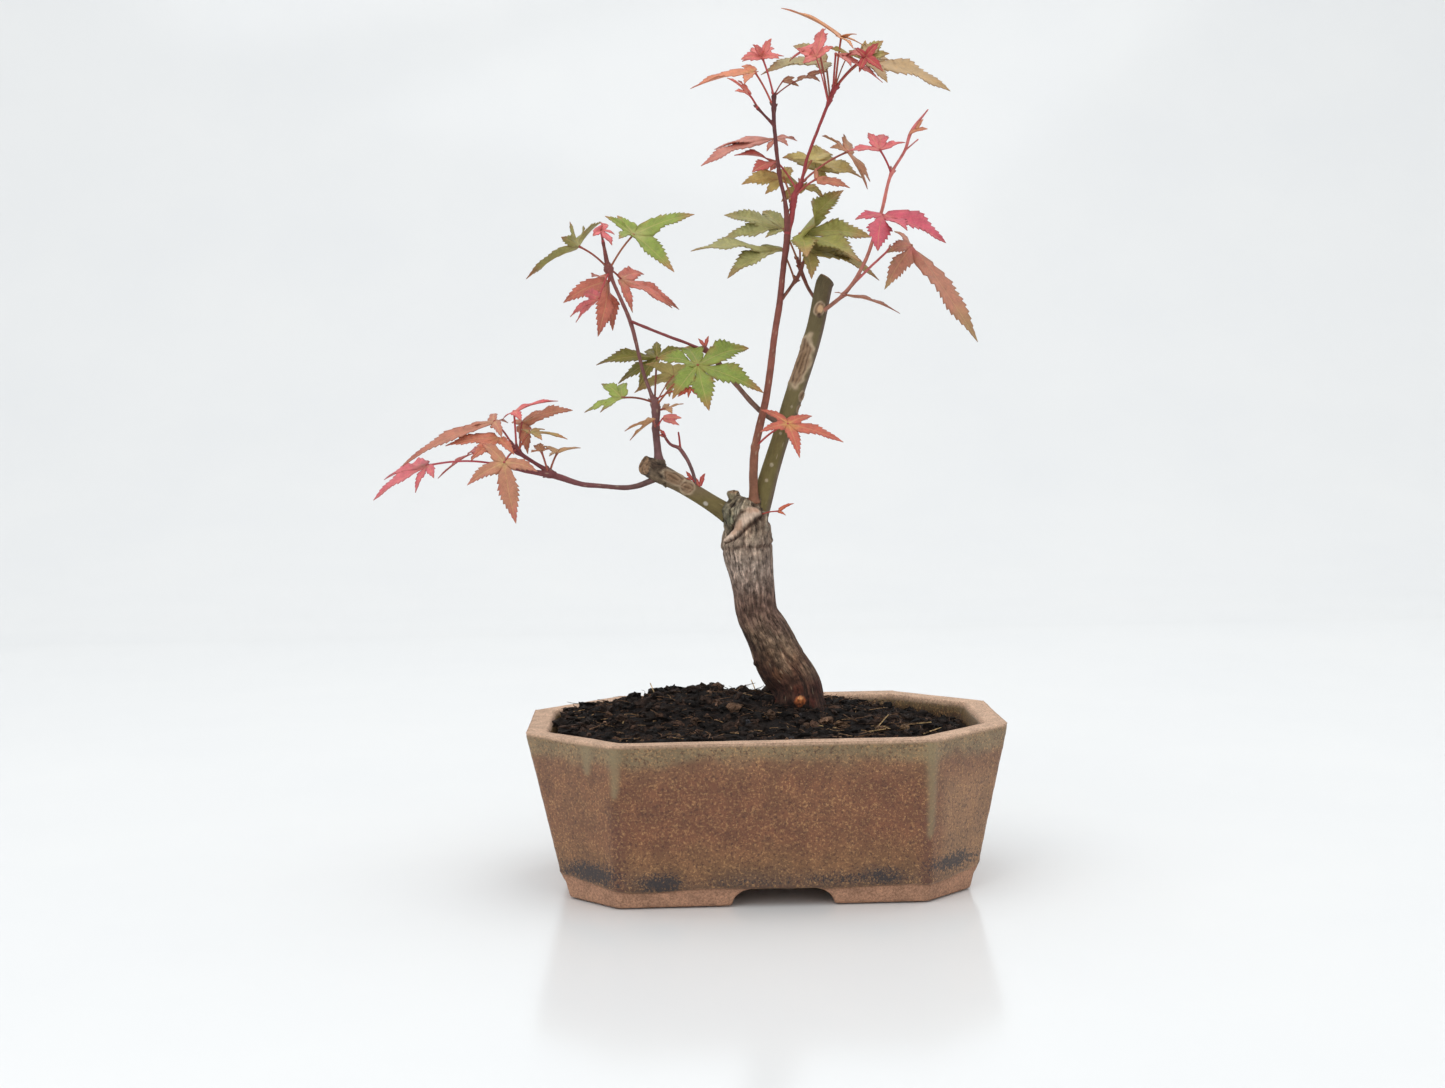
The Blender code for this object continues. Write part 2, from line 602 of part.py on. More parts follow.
def nearest_wood(host, place):
    """Spot on the host's centre lines, direction there, radius, and whether it is the last point."""
    lines = WOOD[host]
    found = []
    for line in lines:
        for start, finish in zip(line, line[1:]):
            first, last = Vector(start[:3]), Vector(finish[:3])
            reach = last - first
            share = min(max((place - first).dot(reach) / reach.length_squared, 0.0), 1.0)
            spot = first + reach * share
            radius = start[3] + (finish[3] - start[3]) * share
            at_end = share == 1.0 and finish == line[-1]
            found.append(((place - spot).length, spot, reach.normalized(), radius, at_end))
    return min(found, key=lambda entry: entry[0])[1:]


def seat_on_wood(host, place, following, radius):
    """Start of a stem or petiole of this radius that grows from the host towards a point (mm)."""
    spot, along, host_radius, at_end = nearest_wood(host, place)
    if at_end:
        away, gap = along, CLEARANCE / MM
    else:
        reach = following - spot
        away = (reach - along * reach.dot(along)).normalized()
        gap = host_radius + CLEARANCE / MM
    start = spot + away * gap
    tilt = (following - start).angle(away)
    return start + away * radius * sin(tilt)


def make_wood(parent):
    WOOD["trunk"] = [trunk_line(), LEFT_LIMB, RIGHT_LIMB, CROWN_STUB, LIMB_COLLAR]
    grown_wood("trunk", WOOD["trunk"], parent, "old_bark", 4)
    for name, (host, lines) in SHOOTS.items():
        (*place, radius), following = lines[0][0], Vector(lines[0][1][:3])
        start = seat_on_wood(host, Vector(place), following, radius)
        WOOD[name] = [[(*start, radius), *lines[0][1:]], *lines[1:]]
        grown_wood(name, WOOD[name], parent, "young_bark", 1)


def blade_normal(points):
    """Normal of the plane that lies closest to the points."""
    cloud = np.array([tuple(point) for point in points])
    cloud -= cloud.mean(axis=0)
    normal = Vector(np.linalg.svd(cloud)[2][2])
    return normal if normal.z >= 0.0 else -normal


def lobe_point(hub, tip, share):
    """Point on a lobe's midrib, which rises a little from the hub and droops to the tip."""
    reach = tip - hub
    middle = hub + reach * 0.5 + Vector((0.0, 0.0, LOBE_LIFT * reach.length))
    return hub * (1 - share) ** 2 + middle * (2 * share * (1 - share)) + tip * share ** 2


def leaf_mesh(name, base, hub, tips, lobe_width):
    """Sheet of a palmate leaf: a ring of lobes round the hub, and the petiole as a strip."""
    stalk = base - hub
    normal = blade_normal([hub, *tips])
    stalk_side = normal.cross(stalk).normalized()
    stalk_along = stalk_side.cross(normal).normalized()
    tips = sorted(tips, key=lambda tip: turn_from(stalk_along, stalk_side, tip - hub))
    size = max((tip - hub).length for tip in tips)
    sections = [(0.5, 1.0)] if size < SMALL_LEAF else [(0.48, 1.0), (0.78, 0.55)]

    shape = bmesh.new()
    centre = shape.verts.new(hub)
    start = hub + stalk.normalized() * PETIOLE_WIDTH
    strip = [shape.verts.new(start + stalk_side * (0.5 * PETIOLE_WIDTH * way)) for way in (1, -1)]
    ribs = [shape.verts.new(lobe_point(hub, tip, LOBE_SINUS)) for tip in tips]
    notches = [shape.verts.new(notch_point(hub, *pair)) for pair in zip(tips, tips[1:])]

    edge_starts = [strip[0], *notches, strip[1]]
    ring = [edge_starts[0]]
    for rib, notch in zip(ribs, edge_starts[1:]):
        ring += [rib, notch]
    for first, second in zip(ring, ring[1:] + ring[:1]):
        shape.faces.new((centre, first, second))

    for index, tip in enumerate(tips):
        reach = tip - hub
        across = normal.cross(reach).normalized() * (lobe_width * reach.length)
        row = (edge_starts[index], ribs[index], edge_starts[index + 1])
        for share, fullness in sections:
            rib = lobe_point(hub, tip, share)
            following = tuple(shape.verts.new(rib + across * (fullness * way)) for way in (-1, 0, 1))
            for side in (0, 1):
                shape.faces.new((row[side], following[side], following[side + 1], row[side + 1]))
            row = following
        point = shape.verts.new(tip)
        shape.faces.new((row[0], point, row[1]))
        shape.faces.new((row[1], point, row[2]))

    row = strip
    stalk_steps = 3
    stalk_length = (base - start).length
    for step in range(1, stalk_steps + 1):
        share = step / stalk_steps
        sag = Vector((0.0, 0.0, 0.06 * stalk_length * sin(pi * share)))
        middle = start.lerp(base, share) + sag
        following = [shape.verts.new(middle + stalk_side * (0.5 * PETIOLE_WIDTH * way)) for way in (1, -1)]
        shape.faces.new((row[0], row[1], following[1], following[0]))
        row = following
    return mesh_from_bmesh(name, shape)


def turn_from(along, side, reach):
    """Angle from the petiole round the hub, between 0 and a full turn."""
    return float(np.arctan2(reach.dot(side), reach.dot(along))) % (2.0 * pi)


def notch_point(hub, tip, following):
    """Bottom of the notch between two lobes."""
    first = tip - hub
    second = following - hub
    middle = (first.normalized() + second.normalized()).normalized()
    return hub + middle * (LOBE_SINUS * min(first.length, second.length))


def make_leaves(parent):
    for name, (colour, host, place, hub, lobe_width, tips) in LEAVES.items():
        base = seat_on_wood(host, Vector(place), Vector(hub), 0.5 * PETIOLE_WIDTH / MM) * MM
        hub = Vector(hub) * MM
        tips = [Vector(tip) * MM for tip in tips]
        leaf = add_object(name, leaf_mesh(name, base, hub, tips, lobe_width), parent, f"leaf_{colour}")
        blade = leaf.modifiers.new("thickness", "SOLIDIFY")
        blade.thickness = LEAF_THICKNESS
        blade.offset = 0.0
        if name in KNOTTED_LEAVES:
            shape = bmesh.new()
            place = Matrix.Translation(hub)
            bmesh.ops.create_icosphere(shape, subdivisions=1, radius=LEAF_KNOT, matrix=place)
            knot = add_object(f"{name}_knot", mesh_from_bmesh("leaf_knot", shape), parent)
            boolean(leaf, "UNION", knot).use_self = True


# ---------------------------------------------------------------- build

clear_scene()
PARTS = new_collection("maple_bonsai")
CUTTERS = new_collection("cutters")
MATERIALS = {name: make_material(name) for name in FINISHES}
WOOD = {}

pot_centre = add_empty("pot_centre", (POT_CENTRE_X, 0.0, 0.0))
rim_centre = add_empty("rim_centre", (0.0, 0.0, POT_HEIGHT), pot_centre)

make_pot(pot_centre)
make_drainage(pot_centre)
make_soil(rim_centre)
make_wood(rim_centre)
make_leaves(rim_centre)
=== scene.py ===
from math import atan2, cos, pi, radians, sin, sqrt

import bmesh
import bpy
import numpy as np
from mathutils import Matrix, Vector, kdtree


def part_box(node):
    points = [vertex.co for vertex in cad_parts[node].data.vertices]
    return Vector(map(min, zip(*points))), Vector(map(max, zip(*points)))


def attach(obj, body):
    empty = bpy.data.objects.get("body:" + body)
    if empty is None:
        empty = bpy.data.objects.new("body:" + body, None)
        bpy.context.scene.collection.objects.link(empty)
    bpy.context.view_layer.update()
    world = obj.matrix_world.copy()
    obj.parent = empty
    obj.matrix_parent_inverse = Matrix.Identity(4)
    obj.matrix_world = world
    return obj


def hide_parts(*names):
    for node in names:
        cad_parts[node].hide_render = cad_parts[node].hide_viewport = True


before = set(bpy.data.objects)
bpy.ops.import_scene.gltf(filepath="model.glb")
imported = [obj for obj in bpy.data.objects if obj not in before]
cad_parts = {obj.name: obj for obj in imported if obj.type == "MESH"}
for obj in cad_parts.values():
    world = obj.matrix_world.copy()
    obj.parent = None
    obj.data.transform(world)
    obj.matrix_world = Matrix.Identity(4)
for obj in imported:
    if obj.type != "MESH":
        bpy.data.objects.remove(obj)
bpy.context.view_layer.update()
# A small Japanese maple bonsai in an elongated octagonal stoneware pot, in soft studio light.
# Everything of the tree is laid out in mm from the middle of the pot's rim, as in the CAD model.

MM = 0.001
POT_LOW, POT_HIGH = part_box("pot")
RIM = Vector(((POT_LOW.x + POT_HIGH.x) / 2, (POT_LOW.y + POT_HIGH.y) / 2, POT_HIGH.z))
POT_HEIGHT = POT_HIGH.z - POT_LOW.z

# Camera at the photo's viewing angle.
CAMERA_PLACE = (-0.01089, -0.84326, 0.2033)
CAMERA_YAW = 1.72278
CAMERA_PITCH = -4.14443
CAMERA_ROLL = -0.90876
CAMERA_LENS = 49.457
SENSOR_WIDTH = 36.0
CLIP_START = 0.01

# Pot: wall, corner cut and tapers as in the CAD model (mm), and how high glaze and foot reach.
WALL = 9.5
CLEARANCE = 0.3
RIM_CORNER = 36.0
END_TAPER = 16.0
SIDE_TAPER = 8.0
CORNER_TAPER = 15.0
SOIL_FLOOR = 16.3
GLAZE_LINE = 7.6
FOOT_TOP = 9.0
FOOT = -POT_HEIGHT / MM

# Fineness of the skins (mm), how much is strewn on the soil, and where the random draws start.
POT_VOXEL = 1.25
TRUNK_VOXEL = 0.45
SHOOT_VOXEL = 0.24
SOIL_GRID = 1.1
CRUMBS = 2600
FIBRES = 950
SOIL_SEED = 31
LEAF_SEED = 100
LEAFLET_SEED = 300

# Leaves (mm), and how a lobe is laid out from its hub (0) to its tip (1).
LEAF_SHEET = 0.28
PETIOLE_RADIUS = 0.42
LEAFLET_STALK_RADIUS = 0.28
LOBE_LIFT = 0.10
LOBE_SINUS = 0.29
TOOTH_SPACING = 2.1
TOOTH_STEPS = 3
NOTCH_ROWS = 4
COLUMNS = (-1.0, -0.66, -0.32, 0.0, 0.32, 0.66, 1.0)
LOBE_SHARES = (0.0, 0.24, 0.36, 0.5, 0.64, 0.76, 0.87, 0.95, 1.0)
LOBE_WIDTHS = (0.25, 0.62, 0.9, 1.0, 0.84, 0.56, 0.3, 0.13, 0.0)
TOOTH_WIDTHS = (-0.14, -0.02, 0.12)
TOOTH_REACH = (-0.07, 0.04, 0.24)
VEIN_SLANT = 1.25
VEIN_SPACING = 2.3
VEINLESS = (0.0, 5.0, 50.0)  # blade vector of a stalk, which has no veins

# Studio (m): floor, curve of the backdrop, sky and soft boxes (name, place, size, power).
FLOOR_REACH = 4.0
FLOOR_GAP = 0.0002
FLOOR_COLOURS = ((233, 234, 235), (240, 240, 239))
BACKDROP_START = 0.9
BACKDROP_CURVE = 0.8
BACKDROP_STEPS = 12
SKY_COLOUR = (0.96, 0.985, 1.0, 1.0)
SKY_STRENGTH = 0.95
LIGHT_AIM = (0.0, 0.0, 0.15)
SOFT_BOXES = [
    ("key_light", (-0.9, -1.1, 1.5), 1.2, 6.0),
    ("top_light", (0.3, 0.2, 1.6), 1.4, 7.0),
]

# Soil: clods (x, y, size, colour), colours of what lies on it with their chances, and straws
# (x, y, length, heading, rise).
SOIL_CLODS = [
    (-52.0, -2.0, 3.4, (46, 34, 28)), (-46.0, 4.0, 2.8, (40, 30, 26)), (-38.0, 8.0, 3.2, (48, 36, 30)),
    (-30.0, 10.0, 2.6, (38, 28, 24)), (-75.0, -14.0, 2.6, (36, 28, 24)), (2.0, 26.0, 3.0, (44, 33, 27)),
    (-14.0, -20.0, 2.8, (92, 69, 53)), (2.0, -24.0, 2.4, (84, 63, 48)), (-30.0, -26.0, 2.2, (70, 52, 40)),
    (32.0, -28.0, 2.4, (96, 73, 55)), (58.0, -18.0, 2.4, (100, 78, 58)), (70.0, -6.0, 3.2, (34, 26, 23)),
    (76.0, 6.0, 2.8, (32, 24, 21)), (-8.0, -34.0, 1.8, (56, 55, 58)), (16.0, -30.0, 2.2, (80, 60, 46)),
    (-60.0, 14.0, 3.0, (38, 29, 25)), (-66.0, 6.0, 2.6, (42, 32, 27)), (-22.0, 26.0, 2.8, (40, 30, 26)),
    (-48.0, 20.0, 3.6, (34, 26, 22)), (-40.0, 22.0, 3.0, (42, 32, 27)), (-56.0, 16.0, 3.2, (32, 24, 21)),
    (-26.0, 24.0, 3.2, (46, 35, 29)), (-8.0, 28.0, 3.0, (38, 29, 24)), (-34.0, 18.0, 3.4, (30, 23, 20)),
    (-20.0, -12.0, 3.0, (104, 78, 62)), (24.0, -24.0, 2.8, (110, 84, 66)), (-44.0, -18.0, 2.6, (78, 58, 46)),
    (48.0, -30.0, 2.6, (92, 70, 54)), (-62.0, -16.0, 2.8, (60, 45, 37)), (62.0, 10.0, 2.8, (46, 35, 29)),
]
SOIL_DARK = (24, 18, 16)
SOIL_BROWN = (84, 62, 50)
CRUMB_COLOURS = [(22, 17, 15), (34, 26, 22), (54, 40, 33), (82, 60, 48), (124, 96, 76), (60, 56, 58)]
CRUMB_CHANCES = (0.3, 0.25, 0.18, 0.15, 0.1, 0.02)
CLOD_CHANCES = (0.45, 0.33, 0.17, 0.05, 0.0, 0.0)
FIBRE_COLOURS = [(30, 22, 19), (60, 44, 35), (104, 78, 58), (142, 112, 80)]
FIBRE_CHANCES = (0.35, 0.35, 0.2, 0.1)
STRAW_COLOUR = (182, 152, 108)
STRAWS = [
    (44.0, -30.0, 14.0, 1.0, 0.35), (52.0, -24.0, 10.0, 2.4, 0.2), (60.0, -6.0, 12.0, -0.5, 0.15),
    (40.0, -34.0, 9.0, 0.2, 0.1), (66.0, -20.0, 10.0, 0.6, 0.15), (-60.0, -20.0, 8.0, 1.4, 0.25),
    (-2.0, 22.0, 6.0, 1.9, 0.8), (-46.0, 4.0, 6.0, 2.0, 0.9), (28.0, -36.0, 8.0, 2.8, 0.1),
]

# Old wood: the trunk, its two limbs, the crown's stub and the left limb's collar, as
# (x, y, z, radius) in mm from the rim's centre.
TRUNK_LINE = [
    (18, 0, -34, 7.5), (17, 0, -20, 11.5), (16, 0, -6, 13), (15, 0, 4, 11.6), (14, 1, 13, 10.7),
    (8, 3, 22, 11), (3, 4, 34, 10), (-2, 3, 44, 9.2), (-4, 1, 59, 9.5), (-6, 0, 73, 10.8),
    (-6, 0, 81, 9.8), (-7, 0, 88, 9.4), (-6, 0, 92, 6.5),
]
LEFT_LIMB = [
    (-7, 0, 82, 5.2), (-17, 0, 89, 3.9), (-26, 0, 95, 3.5), (-34, 0, 100, 3.6), (-43, 0, 105, 4.1),
    (-50, 0, 109, 3.6),
]
RIGHT_LIMB = [
    (-2, 2, 84, 5.0), (6, 2, 110, 3.8), (15, 2, 137, 3.9), (24, 2, 164, 3.8), (28.5, 2, 184, 3.7),
    (29.7, 2, 185.6, 3.7),
]
CROWN_STUB = [(-10, -1, 84, 3.0), (-11.5, -1, 96, 2.4)]
LIMB_COLLAR = [(-43.5, 0, 105, 3.0), (-43, 0, 110.2, 2.4)]
OLD_WOOD = (TRUNK_LINE, LEFT_LIMB, RIGHT_LIMB, CROWN_STUB, LIMB_COLLAR)
# For each of the five, the girth that its grain is laid out on and the spokes of its tube. Then the
# steps along old and young wood, the spacing of a scar's lines and how far round a cut is flattened.
OLD_WOOD_GIRTHS = (11.0, 4.0, 4.0, 2.8, 2.8)
OLD_WOOD_SPOKES = (28, 18, 18, 18, 18)
OLD_WOOD_STEP = 1.2
SHOOT_STEP = 0.8
SCAR_LINES = 1.5
CUT_REACH = 7.0

# Young wood: each shoot's own stem and its side stems, as (x, y, z, radius) from the foot.
SHOOTS = {
    "leader": [
        [(-3, -2, 92, 1.9), (-3, -4, 106, 1.9), (-2, -4, 116, 1.8), (3, -3.5, 137, 1.6),
         (7, -3, 164, 1.4), (9, -2, 175, 1.4), (11, -1, 191, 1.3), (13, 0, 206, 1.5),
         (12, 0, 219, 0.9), (10, 0, 229, 0.85), (8, 0, 250, 0.9), (8, 0, 262, 0.9)],
        [(13, 0, 205, 1.2), (15, 1, 212, 1.2), (16, 2, 220, 1.3), (19, 2, 226, 0.8), (22, 2, 237, 0.7),
         (28, 2, 252, 0.7), (34, 2, 266, 0.8)],
        [(8, 0, 250, 0.7), (1, -2, 257, 0.55)],
    ],
    "side_twig_of_leader": [
        [(9, -2, 176, 0.8), (14.5, 2, 183, 0.75), (18, 5, 188, 0.9), (21, 6, 196, 0.7)],
    ],
    "side_twig_of_limb": [
        [(26, 2, 175, 0.8), (22, 10, 183, 0.8), (20, 11, 188, 0.9), (18, 11, 194, 0.7)],
    ],
    "long_twig": [
        [(10, 2, 124, 1.2), (0, 1.5, 131, 1.2), (-9, 0, 141, 1.1), (-18, -1, 152, 1.3),
         (-23, -1, 157.5, 1.2)],
        [(-20.5, -1, 155, 0.8), (-29, 0, 159, 0.7), (-39, 2, 163, 0.65), (-53.4, 7, 169.2, 0.7)],
    ],
    "twiglet": [
        [(-27, 0, 96, 0.9), (-29, -1, 106, 0.8), (-34, 0, 115, 0.9), (-38, 0, 117, 0.7),
         (-41, 0, 121.4, 0.6)],
        [(-33.5, 0, 114, 0.5), (-34.5, 0, 122, 0.45)],
    ],
    "upper_left_shoot": [
        [(-43, 0, 110.2, 1.6), (-44, 2, 123, 1.6), (-44, 3, 133, 1.7), (-46, 4, 139, 0.9),
         (-49, 6, 148, 0.8), (-54, 8, 169, 0.9), (-61, 10, 186, 0.8), (-63, 10, 192, 1.2),
         (-65, 10, 203, 0.6)],
    ],
    "lower_left_shoot": [
        [(-41, 0, 104, 1.5), (-51, -1, 100, 1.25), (-57, -2, 99, 1.1), (-68, -4, 100, 1.05),
         (-76, -5, 101, 1.15), (-88, -6, 105, 1.45), (-99, -8, 107, 0.9), (-106, -8, 109, 0.8)],
        [(-87, -6, 105, 1.3), (-95, -5, 110, 0.9), (-101, -4, 114, 0.9), (-104, -3, 117, 0.9)],
    ],
    "right_shoot": [
        [(26, 2, 171, 0.9), (35, -8, 178, 0.9), (40, -9, 184, 0.85), (45, -10, 193, 0.8),
         (48, -10, 201, 0.8), (52, -8, 213, 0.75), (56, -8, 228, 0.7), (62, -7, 238, 0.6),
         (65, -6, 246, 0.8), (72, -6, 255, 0.35)],
        [(35, -8, 178, 0.6), (46, -9, 189, 0.55), (55, -7, 197, 0.5)],
        [(62, -7, 238, 0.4), (67, -12, 242, 0.35)],
    ],
}

# Leaves, in groups whose members are numbered from 1: the name, the shoots that they grow on in
# turn, then for each leaf its slot, the foot of its petiole, the hub of its blade, the half width
# of a lobe as a share of its length, the lobes' tips, and its colours at hub, lobes and tips.
LEAF_GROUPS = [
    ("leaf_lower_left", ("lower_left_shoot",), [
        ("pink", (-107.5, -9, 109), (-140, -10, 110), 0.17, [(-136, -20, 105), (-144, -18, 99),
         (-162, -14, 96), (-159, -2, 104), (-152, 10, 108)], ((185, 115, 105), (215, 112, 118),
         (200, 95, 105))),
        ("salmon", (-104, -3, 119), (-112, -2, 128), 0.115, [(-108, -14, 121), (-150, -12, 110),
         (-127, -2, 124), (-113, 12, 131), (-107, 8, 127)], ((185, 128, 100), (186, 120, 98),
         (165, 92, 82))),
        ("orange", (-102.5, -3.5, 115.5), (-107, -18, 111), 0.155, [(-93, -22, 107), (-102, -28, 86),
         (-122, -24, 102), (-117, -12, 119)], ((190, 150, 100), (186, 126, 98), (186, 100, 92))),
        ("red", (-103, -3.3, 116), (-104, 2, 132), 0.13, [(-110, 8, 128), (-96, 12, 135), (-85, -2, 136),
         (-100, -10, 128)], ((210, 115, 110), (215, 100, 100), (195, 85, 85))),
        ("ochre", (-101.5, -3.8, 114.5), (-101, 6, 127), 0.15, [(-106, 14, 127), (-91, 16, 132),
         (-79, 2, 132), (-98, -6, 114)], ((178, 132, 92), (182, 118, 90), (165, 92, 78))),
        ("olive", (-102.2, -3.6, 115.2), (-97, -8, 123), 0.13, [(-101, 0, 124), (-91, 2, 124),
         (-81, -10, 120), (-91, -20, 120)], ((150, 140, 75), (160, 130, 75), (180, 110, 75))),
        ("ochre", (-89, -8, 106.5), (-92, -10, 115), 0.2, [(-96, -16, 115), (-94, 0, 118), (-88, -14, 116)],
         ((178, 130, 92), (184, 126, 92), (165, 102, 80))),
        ("ochre", (-88, -5, 107), (-86, 0, 114), 0.13, [(-92, 6, 117), (-76, 2, 116), (-89, -8, 113)],
         ((190, 145, 100), (190, 150, 110), (160, 110, 80))),
        ("crimson", (-104, -8, 108.5), (-119, 6, 116), 0.13, [(-122, -4, 111), (-137, 4, 104),
         (-126, 18, 113), (-118, 16, 120)], ((165, 70, 75), (185, 100, 95), (160, 60, 60))),
    ]),
    ("leaf_upper_left", ("upper_left_shoot",), [
        ("green", (-64, 8, 192), (-75, 4, 201), 0.15, [(-97, -6, 187), (-82, -8, 204), (-79, 10, 212),
         (-73, 22, 210), (-66, 26, 213)], ((165, 165, 110), (150, 145, 85), (150, 95, 70))),
        ("pink", (-65, 10, 204), (-66, 8, 208), 0.2, [(-69, 0, 205), (-63, 16, 211), (-60, 6, 206),
         (-61, 0, 201)], ((205, 125, 120), (225, 115, 120), (200, 90, 95))),
        ("green", (-61, 10, 192), (-52, 8, 206), 0.14, [(-35, -6, 189), (-26, 6, 214), (-59, 18, 215),
         (-64, 8, 214), (-58, -8, 203)], ((165, 165, 100), (140, 155, 70), (175, 125, 85))),
        ("salmon", (-62, 12, 192), (-58, 16, 188), 0.135, [(-53, 8, 173), (-36, 14, 175), (-33, 28, 175),
         (-48, 38, 191)], ((205, 140, 110), (205, 115, 100), (165, 90, 75))),
        ("salmon", (-64, 12, 192), (-63, 16, 187), 0.16, [(-62, 24, 166), (-68, 8, 163), (-83, 18, 178),
         (-71, 34, 190)], ((165, 105, 85), (200, 115, 95), (170, 90, 80))),
        ("pink", (-64, 8, 190), (-67, 0, 179), 0.17, [(-77, 2, 169), (-79, -6, 171), (-73, -12, 181)],
         ((220, 130, 110), (225, 115, 118), (200, 90, 90))),
    ]),
    ("leaf_left_middle", ("upper_left_shoot",), [
        ("green", (-42, 1, 134), (-26, -14, 150), 0.21, [(-37, -24, 136), (-22, -28, 131), (1, -18, 138),
         (-4, 0, 157), (-31, 6, 158), (-43, -6, 153)], ((140, 140, 65), (130, 145, 62), (160, 110, 65))),
        ("olive", (-44, 6, 134), (-43, 12, 154), 0.16, [(-51, 6, 141), (-60, 16, 143), (-69, 8, 151),
         (-48, 26, 157), (-43, 22, 161), (-32, 20, 158)], ((125, 120, 55), (125, 120, 52), (105, 85, 50))),
        ("green", (-46, 3, 134), (-58, -4, 137), 0.17, [(-67, -14, 131), (-74, -2, 131), (-67, 8, 143),
         (-58, 12, 143)], ((150, 155, 80), (150, 165, 78), (120, 85, 60))),
        ("orange", (-45, 0, 124), (-45, -8, 127), 0.16, [(-55, -6, 119), (-57, -14, 123), (-51, 4, 126)],
         ((180, 130, 90), (200, 150, 105), (165, 95, 75))),
        ("orange", (-42, 3, 131), (-40, 5, 132), 0.15, [(-37, -4, 130), (-32, 6, 134), (-39, 14, 134)],
         ((205, 160, 110), (215, 165, 125), (190, 120, 90))),
    ]),
    ("leaf_on_leader", ("leader",), [
        ("red", (0, -6, 115), (11, -16, 125), 0.13, [(15, -28, 111), (-1, -24, 122), (0, -10, 131),
         (22, -6, 128), (34, -18, 117)], ((205, 150, 85), (198, 104, 84), (196, 88, 82))),
    ]),
    ("leaf_centre", ("side_twig_of_limb", "side_twig_of_leader"), [
        ("green", (18, 11, 194), (12, 14, 208), 0.19, [(4, 8, 204), (-15, 14, 203), (-13, 22, 215),
         (4, 28, 217)], ((150, 140, 85), (168, 166, 108), (155, 128, 85))),
        ("green", (16, 4, 185), (11, 8, 199), 0.17, [(-13, -8, 186), (-28, -1, 198), (-5, 20, 198)],
         ((150, 135, 85), (164, 160, 102), (146, 118, 78))),
        ("olive", (19, 11, 191), (19, 13, 206), 0.19, [(39, 22, 225), (50, 14, 204), (43, -8, 192),
         (20, -14, 194)], ((165, 162, 95), (162, 160, 86), (176, 132, 90))),
        ("olive", (21, 6, 196), (21, 2, 199), 0.18, [(49, 16, 191), (52, 4, 185), (22, -12, 185)],
         ((175, 165, 110), (156, 140, 80), (142, 100, 68))),
    ]),
    ("leaf_crown", ("leader",), [
        ("pink", (10, 0, 231), (9, 10, 246), 0.17, [(-23, 4, 234), (-17, 14, 242), (19, 20, 246),
         (14, 4, 242), (5, 6, 240)], ((165, 110, 90), (205, 135, 120), (190, 105, 95))),
        ("red", (17.5, 2, 223), (9, 6, 236), 0.2, [(-9, 2, 238), (-2, -6, 230), (7, 16, 233)],
         ((150, 75, 55), (180, 85, 75), (190, 90, 85))),
        ("olive", (18.5, 2, 225), (24, 8, 236), 0.27, [(12, 12, 238), (33, 22, 241), (46, 6, 228)],
         ((205, 190, 115), (204, 186, 116), (186, 138, 92))),
        ("ochre", (15.6, 1.5, 217), (12, 6, 229), 0.22, [(-6, 3, 226), (4, 5, 222), (16, 14, 234)],
         ((200, 165, 105), (202, 176, 108), (186, 136, 88))),
        ("brown", (19, 2, 226), (39, 2, 239), 0.18, [(29, 12, 247), (31, -4, 240), (40, 20, 247),
         (47, 0, 223), (49, 8, 227)], ((200, 130, 95), (185, 135, 100), (165, 100, 80))),
        ("red", (16.5, 2, 220), (25, -4, 227), 0.16, [(25, -2, 232), (34, -3, 226), (39, -6, 223)],
         ((190, 120, 90), (190, 120, 95), (170, 90, 75))),
    ]),
    ("leaf_top", ("leader",), [
        ("orange", (8, 0, 257), (0, -2, 272), 0.17, [(-5, -14, 265), (-27, -4, 265), (-5, 8, 276)],
         ((190, 145, 85), (215, 135, 100), (205, 110, 90))),
        ("red", (1, -2, 257), (-3, -8, 262), 0.15, [(-9, -16, 262), (-12, -12, 268), (-7, 2, 269)],
         ((215, 140, 130), (220, 115, 100), (200, 85, 80))),
        ("pink", (8, 0, 262), (4, 8, 279), 0.19, [(-5, 2, 277), (-2, 14, 282), (1, 22, 286), (8, 20, 286),
         (13, 8, 280)], ((215, 130, 110), (215, 115, 108), (200, 95, 95))),
        ("pink", (31, 2, 259), (26, -8, 282), 0.22, [(20, -12, 273), (14, -8, 275), (29, 4, 290),
         (30, 8, 285)], ((212, 120, 110), (218, 112, 114), (150, 95, 70))),
        ("olive", (32, 2, 261), (31, 12, 278), 0.2, [(28, -2, 271), (3, 6, 272), (18, 24, 287)],
         ((175, 150, 110), (172, 158, 112), (170, 130, 95))),
        ("salmon", (33, 2, 264), (34, -3, 279), 0.17, [(50, -3, 277), (53, -8, 266), (39, -18, 271)],
         ((195, 130, 100), (200, 108, 100), (180, 85, 80))),
        ("orange", (34, 2, 266), (37, 4, 287), 0.09, [(12, 8, 300), (43, -2, 287), (47, 8, 284),
         (41, -8, 280)], ((205, 150, 120), (210, 145, 100), (200, 120, 95))),
        ("brown", (33.3, 2, 264.5), (46, 4, 277), 0.2, [(53, 16, 286), (60, 22, 280), (83, 4, 264),
         (55, -8, 266)], ((190, 140, 110), (182, 150, 108), (175, 140, 95))),
    ]),
    ("leaf_right", ("right_shoot",), [
        ("crimson", (51, -10, 208), (52, -13, 211), 0.23, [(40, -16, 209), (48, -28, 195), (60, -30, 203),
         (78, -14, 199)], ((205, 110, 110), (205, 92, 108), (190, 80, 95))),
        ("orange", (56, -7, 198), (65, -4, 199), 0.145, [(52, -16, 180), (92, -8, 158), (59, 8, 206),
         (53, -18, 195)], ((200, 112, 108), (186, 124, 100), (164, 134, 92))),
        ("salmon", (35, -9, 178), (36, -14, 178), 0.14, [(31, -18, 179), (58, -18, 170), (53, -6, 174)],
